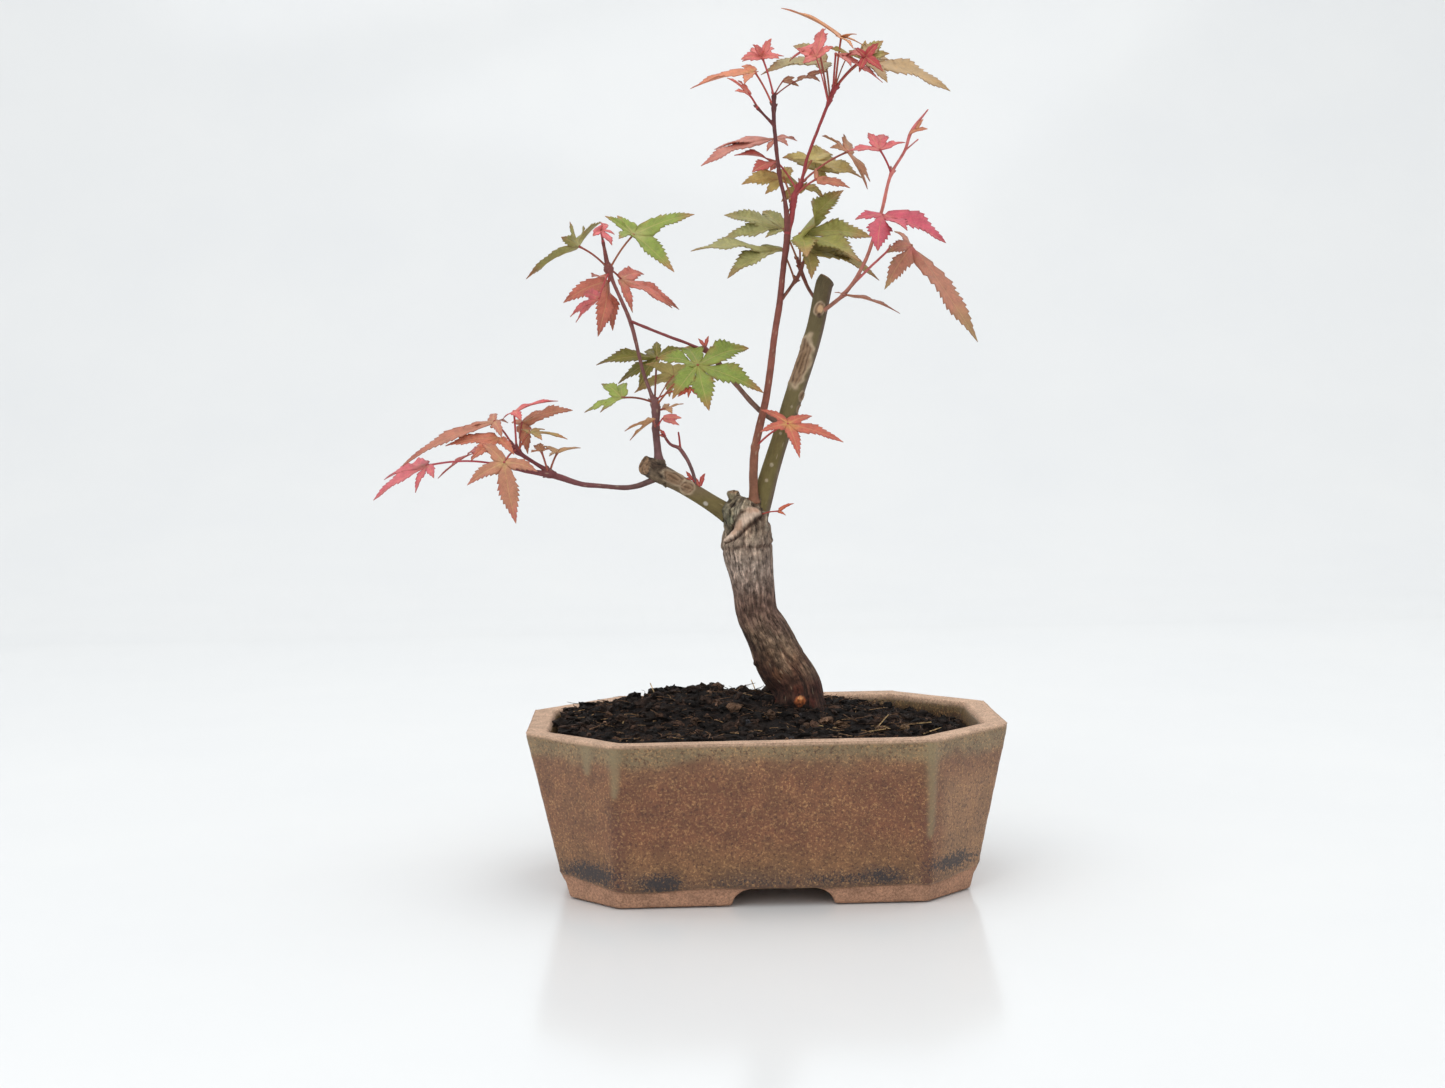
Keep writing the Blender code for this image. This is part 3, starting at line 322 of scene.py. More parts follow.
         ((185, 130, 90), (170, 110, 85), (150, 85, 70))),
        ("crimson", (56, -8, 229), (51, -12, 238), 0.2, [(37, -14, 237), (47, -4, 246), (54, 2, 246),
         (62, -10, 241)], ((200, 115, 110), (215, 108, 112), (190, 85, 90))),
    ]),
]

# Small leaflets and buds that the CAD model leaves out: slot, foot, hub, half width and tips.
LEAFLETS = {
    "leaflet_crown_bud": ("red", (-2, -5, 86), (7, -8, 88.2), 0.1, [(13.5, -10, 91.5), (10, -11, 86.5)]),
    "leaflet_shoot_base": ("pink", (-43, 1, 125), (-41, 0, 128), 0.16, [(-33, -4, 128), (-34, -2, 125)]),
    "leaflet_shoot_behind": ("red", (-44, 4, 136), (-29, 8, 141), 0.16,
        [(-34.5, 8, 137), (-30, 6, 136.5), (-25, 8, 137)]),
    "leaflet_leader_fork": ("olive", (14, 1, 219), (20, 4, 224), 0.18, [(26, 2, 224.5), (22, 6, 227)]),
    "leaflet_top": ("olive", (34, 2, 266), (40, 4, 280), 0.17, [(32, 2, 282), (45, 6, 279), (42, 2, 276)]),
    "leaflet_top_curl": ("brown", (8, 0, 262), (12, 0, 268.5), 0.2, [(18.5, -1, 266), (17, 2, 270)]),
    "leaflet_right_tip": ("orange", (65, -6, 246), (67, -6, 247), 0.15,
        [(70, -7, 251), (72, -6, 247), (63.5, -8, 244.5)]),
    "leaflet_twiglet": ("crimson", (-38, 0, 117), (-40, 0, 120), 0.2, [(-42.5, -1, 123.5), (-43, 1, 121)]),
    "leaflet_top_fold": ("pink", (31, 2, 259), (25, -12, 276), 0.21,
        [(28, -11, 288), (19, -16, 273), (17, -10, 280), (32, -14, 280)]),
    "leaflet_top_left": ("pink", (8, 0, 262), (3, -4, 278), 0.2,
        [(-1, -9, 282), (7, -6, 285), (10, -10, 276), (-6, -9, 276)]),
    "leaflet_top_crimson": ("crimson", (33, 2, 264), (46, -6, 277), 0.18,
        [(41, -10, 280), (53, -11, 270), (52, -4, 283), (43, -10, 270)]),
    "leaflet_top_beige": ("olive", (34, 2, 266), (47, 10, 279), 0.2,
        [(58, 10, 281), (56, 14, 287), (48, 12, 287), (41, 14, 283)]),
    "leaflet_top_dry": ("brown", (8, 0, 262), (22, -2, 270), 0.2,
        [(17, -6, 267), (27, -6, 267), (31, 0, 272)]),
    "leaflet_crown_olive": ("olive", (18, 2, 224), (27, 14, 233), 0.22,
        [(14, 20, 239), (36, 24, 239), (45, 18, 231), (30, 8, 226)]),
    "leaflet_crown_low": ("olive", (13, 0, 213), (21, 12, 226), 0.2,
        [(7, 14, 230), (30, 20, 222), (11, 8, 219)]),
    "leaflet_lower_left": ("orange", (-104, -3, 118), (-110, -6, 121), 0.15,
        [(-132, -10, 118), (-121, -16, 112), (-103, -14, 114)]),
    "leaflet_left_middle": ("olive", (-44, 4, 134), (-36, 10, 146), 0.16,
        [(-48, 4, 151), (-24, 18, 150), (-38, 20, 137), (-53, 14, 139)]),
    "bud_twiglet_foot": ("crimson", (-27, 0, 97), (-26, -1, 99), 0.16,
        [(-23.4, -1, 104.5), (-28, -1, 103)]),
    "bud_twiglet_side": ("crimson", (-28, -1, 101), (-29, -1, 102), 0.16,
        [(-31.6, -1, 105.5), (-32, -1, 102.5)]),
    "bud_long_twig": ("crimson", (-22, -1, 156.5), (-22.6, -1, 158), 0.15,
        [(-21, -1, 162.5), (-25.5, -1, 161.5)]),
}
# Their colours at hub, lobes and tips.
SLOT_PALETTES = {
    "olive": ((178, 166, 100), (178, 162, 98), (164, 120, 78)),
    "orange": ((200, 140, 96), (204, 124, 98), (192, 100, 84)),
    "brown": ((150, 100, 75), (155, 105, 80), (130, 80, 60)),
    "red": ((200, 95, 65), (205, 90, 70), (185, 75, 60)),
    "pink": ((215, 130, 115), (225, 125, 120), (205, 95, 95)),
    "crimson": ((175, 75, 70), (185, 70, 72), (160, 55, 60)),
}

# Bark colours of the young wood, from its foot to its tip, and of the side stems.
SHOOT_COLOURS = {
    "leader": ((128, 86, 64), (136, 82, 66), (120, 66, 56), (108, 56, 54), (92, 52, 52)),
    "side_twig_of_leader": ((125, 82, 66), (120, 65, 58)),
    "side_twig_of_limb": ((125, 82, 66), (120, 65, 58)),
    "long_twig": ((112, 92, 78), (125, 90, 78), (120, 66, 62)),
    "twiglet": ((104, 84, 82), (112, 76, 74), (130, 62, 62)),
    "upper_left_shoot": ((112, 78, 78), (118, 76, 72), (128, 70, 66)),
    "lower_left_shoot": ((98, 76, 70), (112, 66, 66), (120, 60, 62)),
    "right_shoot": ((150, 105, 88), (185, 110, 98), (195, 105, 105)),
}
SIDE_STEM_COLOURS = {"leader": (158, 62, 64), "long_twig": (126, 56, 56), "twiglet": (160, 58, 58)}

# Marks on the old wood: place, radius, rise (mm), colour and how strongly it covers the bark. The pale spot
# on the knot low on the trunk is a painted highlight.
BARK_MARKS = [
    ((15, -13, 8), 2.6, 1.3, (172, 96, 54), 0.95),
    # painted highlight on the knot
    ((15, -14, 9.5), 1.1, 0.4, (206, 142, 92), 0.9),
    ((14.6, -13, 6.6), 0.8, -0.4, (70, 36, 24), 0.9),
    ((15.2, -13, 3.4), 2.2, -0.6, (36, 20, 17), 0.9),
    ((11.8, -12, 6), 1.5, -0.4, (38, 22, 18), 0.8),
    ((18.3, -11.5, 6.5), 1.5, -0.3, (44, 25, 20), 0.8),
    ((14, -12, 13), 2.4, 0.5, (104, 56, 40), 0.5),
    ((6, -8, 19), 3.0, 0.3, (122, 84, 58), 0.4),
    ((-3.7, -3, 23), 2.0, 1.7, (70, 48, 38), 0.6),
    ((-2, -8, 92.3), 1.2, -0.6, (62, 44, 36), 0.7),
    ((-8.6, -9, 88.6), 1.0, -0.5, (72, 54, 44), 0.6),
    ((-11.0, -8, 86.4), 0.9, -0.5, (70, 54, 44), 0.6),
    ((-13, -7, 85), 2.2, 0.8, (112, 110, 88), 0.8),
    ((-15, -5, 89), 2.0, 0.9, (126, 120, 98), 0.8),
    ((-12, -6, 91), 1.6, -0.7, (56, 42, 33), 0.8),
    ((-15, -5, 84), 1.3, -0.5, (60, 52, 40), 0.8),
    ((-11.2, -2, 97), 2.0, 0.0, (150, 130, 104), 0.8),
    ((-11.2, -2.4, 98), 0.8, -0.4, (70, 50, 38), 0.9),
    ((4.9, -2, 107.5), 0.9, 0.3, (180, 166, 140), 0.85),
    ((2.7, -2, 101.2), 0.8, 0.3, (176, 160, 134), 0.85),
    ((8.5, -2, 121), 0.7, 0.2, (170, 154, 128), 0.8),
    ((13.5, -2, 132), 0.6, 0.2, (164, 150, 124), 0.8),
    ((26.2, -2, 173), 1.7, 0.3, (206, 168, 128), 0.9),
    ((25.8, -3.6, 170.4), 1.2, -0.4, (64, 44, 36), 0.8),
    ((-23.8, -4, 91.6), 1.1, 0.2, (196, 188, 176), 0.85),
    ((-48.5, -3, 105.6), 2.4, 0.3, (84, 72, 64), 0.8),
]
# Smooth ridge of callus across the trunk under the crown: x, y, z and radius.
CALLUS_LIP = [
    (-15.5, -6, 76.5, 1.0), (-12.6, -9, 79.2, 1.6), (-9.8, -10, 82.2, 1.9), (-6.8, -10, 85.4, 2.4),
    (-3.8, -10, 88.2, 2.9), (-1.4, -9, 89.4, 2.3),
]

# Oval scars on the limbs' fronts: x, z, lean in degrees, half length and half width.
SCARS = [
    (-36.9, 102.6, 149.5, 5.2, 2.5), (-31.2, 98.6, 160.0, 3.2, 2.6), (18.0, 150.5, 72.0, 10.5, 3.5),
    (17.8, 136.5, 72.0, 2.3, 1.0), (16.8, 131.0, 72.0, 1.8, 1.0), (26.0, 173.0, 72.0, 2.8, 2.1),
]
# Sawn ends of the old wood: a point of the cut and the way it faces.
SAWN_ENDS = [
    ((-49.6, 0.0, 108.4), (-0.75, -0.5, 0.25)), ((29.6, 2.0, 187.0), (0.4, -0.2, 0.86)),
    ((-11.6, -1.0, 97.2), (-0.15, -0.4, 0.9)),
]

# Pot: drips (x, end below the rim, half width) and dark patches (x, below the rim, half sizes,
# strength) on its front. The back has the same ones in mirror image, its drips a little along.
BACK_SHIFT = 11.0
DRIPS = [(-63.0, 22.0, 2.6), (-74.0, 14.0, 2.2), (63.0, 41.0, 2.4)]
PATCHES = [
    (-73.0, 54.5, 14.0, 5.0, 1.1), (-45.0, 57.5, 10.0, 4.8, 1.1), (30.0, 56.5, 30.0, 3.4, 0.65),
    (43.0, 56.0, 11.0, 4.5, 0.85), (74.0, 53.0, 14.0, 4.6, 1.0), (-8.0, 57.5, 24.0, 2.6, 0.5),
]
# Pot colours; the purple one is painted shade down the vertical edges beside the corner faces.
POT_COLOURS = {
    "olive": (128, 108, 78), "rust": (118, 72, 47), "tan": (128, 88, 56), "grey": (98, 72, 54),
    "sage": (142, 126, 94), "edge_shade": (98, 58, 44), "lip": (196, 162, 136), "foot": (170, 128, 102),
    "inner": (112, 92, 62), "base": (122, 82, 56), "blue_black": (34, 34, 40), "speck": (188, 142, 92),
    "stain": (58, 42, 30), "corner": (154, 116, 82), "freckle": (78, 46, 32), "pinhole": (58, 38, 28),
    "iron": (120, 78, 56), "glaze_rim": (128, 102, 72),
}
# Old bark: heights over the rim and the trunk's colour there, the same for both limbs, and paints.
TRUNK_STOPS = {
    -8: (36, 18, 15), 5: (48, 24, 20), 12: (64, 35, 28), 20: (98, 66, 50), 28: (142, 110, 85),
    34: (168, 140, 116), 40: (156, 126, 108), 47: (156, 124, 108), 53: (170, 140, 124), 60: (196, 172, 156),
    66: (200, 178, 162), 73: (196, 172, 152), 80: (190, 164, 140), 95: (168, 148, 120),
}
LEFT_LIMB_STOPS = {
    82: (112, 98, 62), 93: (116, 102, 64), 98: (122, 104, 78), 104: (122, 104, 84), 110: (120, 102, 86),
}
RIGHT_LIMB_STOPS = {84: (116, 104, 64), 110: (118, 106, 66), 150: (112, 100, 68), 186: (98, 86, 62)}
# Bark paints; the colours for the trunk's flanks, the right limb's flank and the trunk's hollow are painted
# shade.
BARK_COLOURS = {
    "shade_right_side": (84, 58, 54), "limb_shade_right_side": (108, 90, 84), "shadow": (66, 44, 36), "dusk": (70, 46, 38),
    "hollow_shade": (50, 32, 27), "streak": (192, 160, 130), "red": (84, 38, 30), "crack": (82, 58, 46),
    "ring": (96, 66, 52), "knob_pit": (56, 40, 32), "knob": (196, 184, 162), "moss": (112, 116, 90),
    "callus": (234, 206, 184), "callus_stain": (176, 124, 92), "callus_edge": (66, 40, 30),
    "scar": (142, 112, 86), "scar_line": (86, 62, 46), "scar_fold": (176, 148, 120),
    "scar_edge": (196, 172, 144), "sawn": (160, 126, 96), "pith": (84, 60, 46), "pore": (186, 166, 138),
    "node": (128, 96, 78),
}
MESH_COLOURS = ((22, 22, 24), (46, 46, 50))
WIRE_COLOURS = ((176, 120, 80), (120, 92, 70))
LEAF_COLOURS = {
    "vein": (226, 190, 130), "edge": (132, 78, 58), "spot": (120, 76, 52), "petiole": (160, 62, 62),
}


# ---------------------------------------------------------------- numbers

def linear(colour):
    """Linear light of an sRGB colour whose channels run to 255."""
    share = np.asarray(colour, float) / 255.0
    return np.where(share <= 0.04045, share / 12.92, ((share + 0.055) / 1.055) ** 2.4)


def rgba(colour):
    return (*[float(channel) for channel in linear(colour)], 1.0)


def smooth_step(low, high, value):
    share = np.clip((value - low) / (high - low), 0.0, 1.0)
    return share * share * (3.0 - 2.0 * share)


def hashed(cells, seed):
    """Repeatable number from 0 to 1 for each whole-numbered cell."""
    mixed = cells[:, 0] * 374761393 + cells[:, 1] * 668265263 + cells[:, 2] * 1440662683
    mixed = mixed + seed * 97471171
    mixed = (mixed ^ (mixed >> 13)) * 1274126177
    return ((mixed ^ (mixed >> 16)) & 0xFFFFFF) / 0xFFFFFF


def value_noise(points, size, seed=0):
    """Smooth noise from -1 to 1 whose features are about size wide."""
    scaled = np.asarray(points, float) / size
    cell = np.floor(scaled).astype(np.int64)
    share = scaled - cell
    share = share * share * (3.0 - 2.0 * share)
    total = np.zeros(len(scaled))
    for corner in np.ndindex(2, 2, 2):
        weight = np.prod(np.where(np.array(corner) == 1, share, 1.0 - share), axis=1)
        total += weight * hashed(cell + np.array(corner), seed)
    return 2.0 * total - 1.0


def rough_noise(points, size, octaves=3, seed=0):
    total = sum(value_noise(points, size / 2 ** step, seed + step) / 2 ** step for step in range(octaves))
    return total / (2.0 - 0.5 ** (octaves - 1))


def gradient(stops, where):
    """Linear colours along a scale, between sRGB stops: a dict, or pairs of place and colour."""
    places, colours = zip(*dict(stops).items())
    table = linear(np.array(colours, float))
    return np.stack([np.interp(where, places, table[:, channel]) for channel in range(3)], axis=1)


def plain_tint(colour, count):
    return np.tile(linear(colour), (count, 1))


def covered(tints, colour, share):
    """Tints after an sRGB colour has covered its share of them."""
    return tints + (linear(colour) - tints) * np.clip(share, 0.0, 1.0)[:, None]


def painted(tints, palette, layers):
    """Tints after each of the palette's named colours in turn has covered its share."""
    for key, share in layers.items():
        tints = covered(tints, palette[key], share)
    return tints


def unit(vector):
    return vector / np.linalg.norm(vector)


def listed_leaves():
    """Every leaf as (name, slot, shoot, foot, hub, half width, tips, colours)."""
    leaves = []
    for group, hosts, members in LEAF_GROUPS:
        for order, (slot, *rest) in enumerate(members):
            name = group if len(members) == 1 else f"{group}_{order + 1}"
            leaves.append((name, slot, hosts[order % len(hosts)], *rest))
    return leaves


# ---------------------------------------------------------------- shapes

def smooth_line(points, step):
    """Points about step apart on a smooth curve through (x, y, z, radius) points."""
    line = np.array(points, float)
    lengths = np.linalg.norm(np.diff(line[:, :3], axis=0), axis=1)
    slopes = np.empty_like(line)
    slopes[0] = (line[1] - line[0]) / lengths[0]
    slopes[-1] = (line[-1] - line[-2]) / lengths[-1]
    slopes[1:-1] = (line[2:] - line[:-2]) / (lengths[1:] + lengths[:-1])[:, None]
    pieces = []
    for index, length in enumerate(lengths):
        count = max(1, round(length / step))
        t = (np.arange(count) / count)[:, None]
        pieces.append(
            (2 * t ** 3 - 3 * t ** 2 + 1) * line[index] + (t ** 3 - 2 * t ** 2 + t) * length * slopes[index]
            + (3 * t ** 2 - 2 * t ** 3) * line[index + 1] + (t ** 3 - t ** 2) * length * slopes[index + 1]
        )
    return np.vstack([*pieces, line[-1:]])


def line_frames(line):
    """Directions along a line, and two normals that are carried along it without twist."""
    along = np.gradient(line[:, :3], axis=0)
    along /= np.linalg.norm(along, axis=1)[:, None]
    side = np.cross(along[0], (0.0, 1.0, 0.0) if abs(along[0][1]) < 0.9 else (1.0, 0.0, 0.0))
    sides = []
    for direction in along:
        side = side - direction * side.dot(direction)
        side = side / np.linalg.norm(side)
        sides.append(side)
    sides = np.array(sides)
    return along, sides, np.cross(along, sides)


def tube(line, spokes=8, domes=(0.7, 0.7)):
    """Closed round tube along (x, y, z, radius) points, with domed ends."""
    along, sides, others = line_frames(line)
    turns = 2.0 * pi * np.arange(spokes) / spokes
    rows = [(0, -domes[0] * sin(radians(turn)), cos(radians(turn))) for turn in (80, 52, 26)]
    rows += [(index, 0.0, 1.0) for index in range(len(line))]
    rows += [(len(line) - 1, domes[1] * sin(radians(turn)), cos(radians(turn))) for turn in (26, 52, 80)]
    rings = []
    for index, shift, share in rows:
        radius = line[index, 3]
        centre = line[index, :3] + along[index] * shift * radius
        spoke = np.cos(turns)[:, None] * sides[index] + np.sin(turns)[:, None] * others[index]
        rings.append(centre + radius * share * spoke)
    faces = []
    for row in range(len(rings) - 1):
        for spoke in range(spokes):
            following = (spoke + 1) % spokes
            low, high = row * spokes, (row + 1) * spokes
            faces.append((low + spoke, low + following, high + following, high + spoke))
    faces.append(tuple(range(spokes - 1, -1, -1)))
    faces.append(tuple(range((len(rings) - 1) * spokes, len(rings) * spokes)))
    return np.vstack(rings), faces


def joined(shapes):
    """One list of points and faces from several."""
    points, faces, start = [], [], 0
    for shape_points, shape_faces in shapes:
        points.append(shape_points)
        faces += [tuple(index + start for index in face) for face in shape_faces]
        start += len(shape_points)
    return np.vstack(points), faces


def border_edges(faces):
    """Edges with a face on one side only, as pairs of corners in that face's order."""
    edges = {}
    for face in faces:
        for first, second in zip(face, face[1:] + face[:1]):
            if (second, first) in edges:
                del edges[(second, first)]
            else:
                edges[(first, second)] = True
    return list(edges)


def placed(name, data):
    """New object in the scene."""
    thing = bpy.data.objects.new(name, data)
    bpy.context.scene.collection.objects.link(thing)
    return thing


def remeshed(shape, voxel, smoothing):
    """One even skin of quads round overlapping closed shapes: points, faces and normals (mm)."""
    points, faces = shape
    mesh = bpy.data.meshes.new("skin")
    mesh.from_pydata(points.tolist(), [], faces)
    thing = placed("skin", mesh)
    skin = thing.modifiers.new("skin", "REMESH")
    skin.mode = "VOXEL"
    skin.voxel_size = voxel
    relax = thing.modifiers.new("relax", "SMOOTH")
    relax.iterations = smoothing
    evaluated = thing.evaluated_get(bpy.context.evaluated_depsgraph_get())
    result = bpy.data.meshes.new_from_object(evaluated)
    bpy.data.objects.remove(thing)
    places, normals = np.empty(3 * len(result.vertices)), np.empty(3 * len(result.vertices))
    result.vertices.foreach_get("co", places)
    result.vertex_normals.foreach_get("vector", normals)
    corners = np.empty(len(result.loops), np.int32)
    result.loops.foreach_get("vertex_index", corners)
    bpy.data.meshes.remove(result)
    bpy.data.meshes.remove(mesh)
    return places.reshape(-1, 3), corners.reshape(-1, 4), normals.reshape(-1, 3)


def add_piece(name, shape, material, replaced=None, colours=None, vectors=None):
    """Piece from points in mm from the rim's centre; colours and vectors are kept for its material."""
    points, faces = shape
    mesh = bpy.data.meshes.new(name)
    places = np.asarray(points) * MM + np.array(RIM)
    mesh.from_pydata(places.tolist(), [], [tuple(face) for face in faces])
    mesh.shade_smooth()
    mesh.materials.append(material)
    if colours is not None:
        store = mesh.attributes.new("tint", "FLOAT_COLOR", "POINT")
        store.data.foreach_set("color", np.column_stack([colours, np.ones(len(colours))]).ravel())
    for key, values in (vectors or {}).items():
        store = mesh.attributes.new(key, "FLOAT_VECTOR", "POINT")
        store.data.foreach_set("vector", np.asarray(values, float).ravel())
    piece = placed(name, mesh)
    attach(piece, "root")
    if replaced:
        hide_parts(replaced)
    return piece


# ---------------------------------------------------------------- materials

class Finish:
    """Builds the nodes of one material; a value may be a socket, a number or an sRGB colour."""

    def __init__(self, name, **constants):
        self.material = bpy.data.materials.new(name)
        self.material.use_nodes = True
        self.tree = self.material.node_tree
        self.shader = self.tree.nodes["Principled BSDF"]
        for key, value in constants.items():
            self.feed(self.shader.inputs[key.replace("_", " ")], value)

    def feed(self, socket, value):
        if isinstance(value, bpy.types.NodeSocket):
            self.tree.links.new(value, socket)
        else:
            socket.default_value = rgba(value) if isinstance(value, tuple) else value

    def add(self, kind, inputs, output=0, **settings):
        node = self.tree.nodes.new(f"ShaderNode{kind}")
        for key, value in settings.items():
            setattr(node, key, value)
        for key, value in inputs.items():
            self.feed(node.inputs[key], value)
        return node.outputs[output]

    def scaled(self, vector, factor):
        return self.add("VectorMath", {0: vector, "Scale": factor}, operation="SCALE")

    def place(self):
        """Position in mm in the model's frame."""
        return self.scaled(self.add("TexCoord", {}, "Object"), 1.0 / MM)

    def stored(self, name, output="Color"):
        return self.add("Attribute", {}, output, attribute_name=name)

    def noise(self, place, size, detail=3.0, roughness=0.55):
        inputs = {"Vector": place, "Scale": 1.0 / size, "Detail": detail, "Roughness": roughness}
        return self.add("TexNoise", inputs, "Fac")

    def dots(self, place, size):
        """Distance from the nearest of scattered points, as a share of their spacing."""
        return self.add("TexVoronoi", {"Vector": place, "Scale": 1.0 / size}, "Distance")

    def step(self, value, low, high, start=0.0, end=1.0):
        inputs = {"Value": value, "From Min": low, "From Max": high, "To Min": start, "To Max": end}
        return self.add("MapRange", inputs, interpolation_type="SMOOTHSTEP")

    def math(self, operation, first, second=0.0):
        return self.add("Math", {0: first, 1: second}, operation=operation)

    def plus(self, first, second):
        return self.math("ADD", first, second)

    def minus(self, first, second):
        return self.math("SUBTRACT", first, second)

    def times(self, first, second):
        return self.math("MULTIPLY", first, second)

    def mix(self, share, first, second):
        return self.add("Mix", {0: share, 6: first, 7: second}, 2, data_type="RGBA")

    def split(self, vector):
        """The three parts of a vector."""
        return self.add("SeparateXYZ", {0: vector}).node.outputs[0:3]

    def close(self, colour, height, depth, roughness=None):
        """Feeds the shader; the height's relief is depth mm deep."""
        self.feed(self.shader.inputs["Base Color"], colour)
        if roughness is not None:
            self.feed(self.shader.inputs["Roughness"], roughness)
        inputs = {"Height": height, "Distance": depth * MM, "Strength": 1.0}
        self.feed(self.shader.inputs["Normal"], self.add("Bump", inputs, "Normal"))
        return self.material


def bark_finish(name, furrow_depth, contrast, roughness, coarse=None):
    """Bark: a stored tint, streaks and fine cracks that run along the stem, and small pale lenticels."""
    finish = Finish(name, Roughness=roughness, Specular_IOR_Level=0.3)
    tint, stem = finish.stored("tint"), finish.stored("stem", "Vector")
    strength = finish.split(finish.stored("coarse", "Vector"))[0] if coarse is None else coarse
    streaks = finish.step(finish.noise(stem, 1.3, 5.0, 0.75), 0.4, 0.6, -0.9, 1.1)
    cracks = finish.step(finish.noise(stem, 1.0, 4.0, 0.7), 0.38, 0.46, -1.0, 0.0)
    mottle = finish.noise(finish.place(), 3.4, 5.0, 0.7)
    relief = finish.times(finish.plus(finish.times(streaks, 0.6), cracks), strength)
    tinted = finish.scaled(tint, finish.plus(1.0, finish.times(relief, contrast)))
    spread = finish.times(finish.step(mottle, 0.34, 0.66, -0.42, 0.42), strength)
    tinted = finish.scaled(tinted, finish.plus(1.0, spread))
    pore = finish.step(finish.dots(stem, 2.1), 0.07, 0.17, 0.4, 0.0)
    tinted = finish.mix(pore, tinted, BARK_COLOURS["pore"])
    return finish.close(tinted, finish.plus(relief, finish.times(pore, 0.6)), furrow_depth)


def leaf_finish(name, roughness):
    """Leaf blade: a stored tint, a pale midrib and side veins, speckles and a dry edge."""
    finish = Finish(name, Roughness=roughness, Specular_IOR_Level=0.35)
    tint = finish.stored("tint")
    along, across, width = finish.split(finish.stored("blade", "Vector"))
    beside = finish.math("ABSOLUTE", across)
    rib = finish.step(beside, 0.1, 0.38, 1.0, 0.0)
    slanted = finish.minus(along, finish.times(beside, VEIN_SLANT))
    order = finish.math("FRACT", finish.math("DIVIDE", slanted, VEIN_SPACING))
    order = finish.math("ABSOLUTE", finish.minus(order, 0.5))
    side_vein = finish.step(order, 0.40, 0.49, 0.0, 0.55)
    veins = finish.math("MAXIMUM", rib, side_vein)
    place = finish.place()
    mottle, grain = finish.noise(place, 2.6, 4.0), finish.noise(place, 0.5, 3.0)
    tinted = finish.scaled(tint, finish.step(mottle, 0.25, 0.75, 0.84, 1.14))
    tinted = finish.scaled(tinted, finish.step(grain, 0.25, 0.75, 0.93, 1.06))
    pale = finish.mix(0.45, tint, LEAF_COLOURS["vein"])
    tinted = finish.mix(finish.times(veins, 0.5), tinted, pale)
    share = finish.math("DIVIDE", beside, finish.math("MAXIMUM", width, 0.05))
    edge = finish.plus(share, finish.times(mottle, 0.3))
    tinted = finish.mix(finish.step(edge, 0.95, 1.25, 0.0, 0.4), tinted, LEAF_COLOURS["edge"])
    spots = finish.step(finish.dots(place, 1.5), 0.08, 0.2, 0.3, 0.0)
    tinted = finish.mix(spots, tinted, LEAF_COLOURS["spot"])
    relief = finish.plus(finish.times(veins, -1.0), finish.times(grain, 0.4))
    shine = finish.step(mottle, 0.3, 0.7, roughness - 0.08, roughness + 0.08)
    return finish.close(tinted, relief, 0.12, shine)


def stoneware_finish(name):
    """Stoneware: bare clay where the stored zone is under nought, else a speckled glaze with drips."""
    finish = Finish(name, Specular_IOR_Level=0.5)
    place = finish.place()
    tint = finish.stored("tint")
    into_glaze, drip, dark = finish.split(finish.stored("zones", "Vector"))
    wander, grain = finish.noise(place, 1.8, 4.0), finish.noise(place, 0.9, 5.0, 0.8)
    fine = finish.noise(place, 0.25)
    loose = finish.minus(wander, 0.5)
    glaze = finish.step(finish.plus(into_glaze, finish.times(loose, 1.2)), -0.15, 0.25)

    specks = finish.step(finish.noise(place, 1.0, 5.0, 0.82), 0.53, 0.59)
    glazed = finish.mix(finish.times(specks, 0.72), tint, POT_COLOURS["speck"])
    deep = finish.step(finish.noise(place, 1.25, 5.0, 0.82), 0.41, 0.47, 0.85, 0.0)
    glazed = finish.mix(deep, glazed, POT_COLOURS["freckle"])
    clouds = finish.noise(place, 9.0, 3.0)
    glazed = finish.scaled(glazed, finish.step(clouds, 0.35, 0.65, 0.86, 1.12))
    run = finish.plus(drip, finish.times(loose, 0.5))
    glazed = finish.mix(finish.step(run, 0.0, 1.0, 0.0, 0.68), glazed, POT_COLOURS["sage"])
    blotch = finish.plus(dark, finish.times(finish.minus(grain, 0.5), 3.2))
    blotch = finish.plus(blotch, loose)
    glazed = finish.mix(finish.step(blotch, 0.2, 0.55, 0.0, 0.88), glazed, POT_COLOURS["blue_black"])
    pinholes = finish.step(finish.dots(place, 17.0), 0.02, 0.045, 0.85, 0.0)
    glazed = finish.mix(pinholes, glazed, POT_COLOURS["pinhole"])

    clay = finish.scaled(tint, finish.step(grain, 0.38, 0.62, 0.66, 1.26))
    clay = finish.scaled(clay, finish.step(finish.noise(place, 6.0, 4.0), 0.35, 0.65, 0.88, 1.1))
    iron = finish.step(finish.dots(place, 2.4), 0.06, 0.16, 0.6, 0.0)
    clay = finish.mix(iron, clay, POT_COLOURS["iron"])
    clay = finish.scaled(clay, finish.step(fine, 0.3, 0.7, 0.94, 1.05))
    rim_of_glaze = finish.step(finish.math("ABSOLUTE", into_glaze), 0.0, 1.0, 0.35, 0.0)
    colour = finish.mix(glaze, clay, glazed)
    colour = finish.mix(finish.times(rim_of_glaze, glaze), colour, POT_COLOURS["glaze_rim"])
    height = finish.plus(finish.times(grain, 0.6), finish.times(fine, 0.3))
    height = finish.plus(height, finish.times(pinholes, -2.0))
    height = finish.plus(height, finish.times(glaze, 1.0))
    return finish.close(colour, height, 0.12, finish.step(glaze, 0.0, 1.0, 0.85, 0.42))


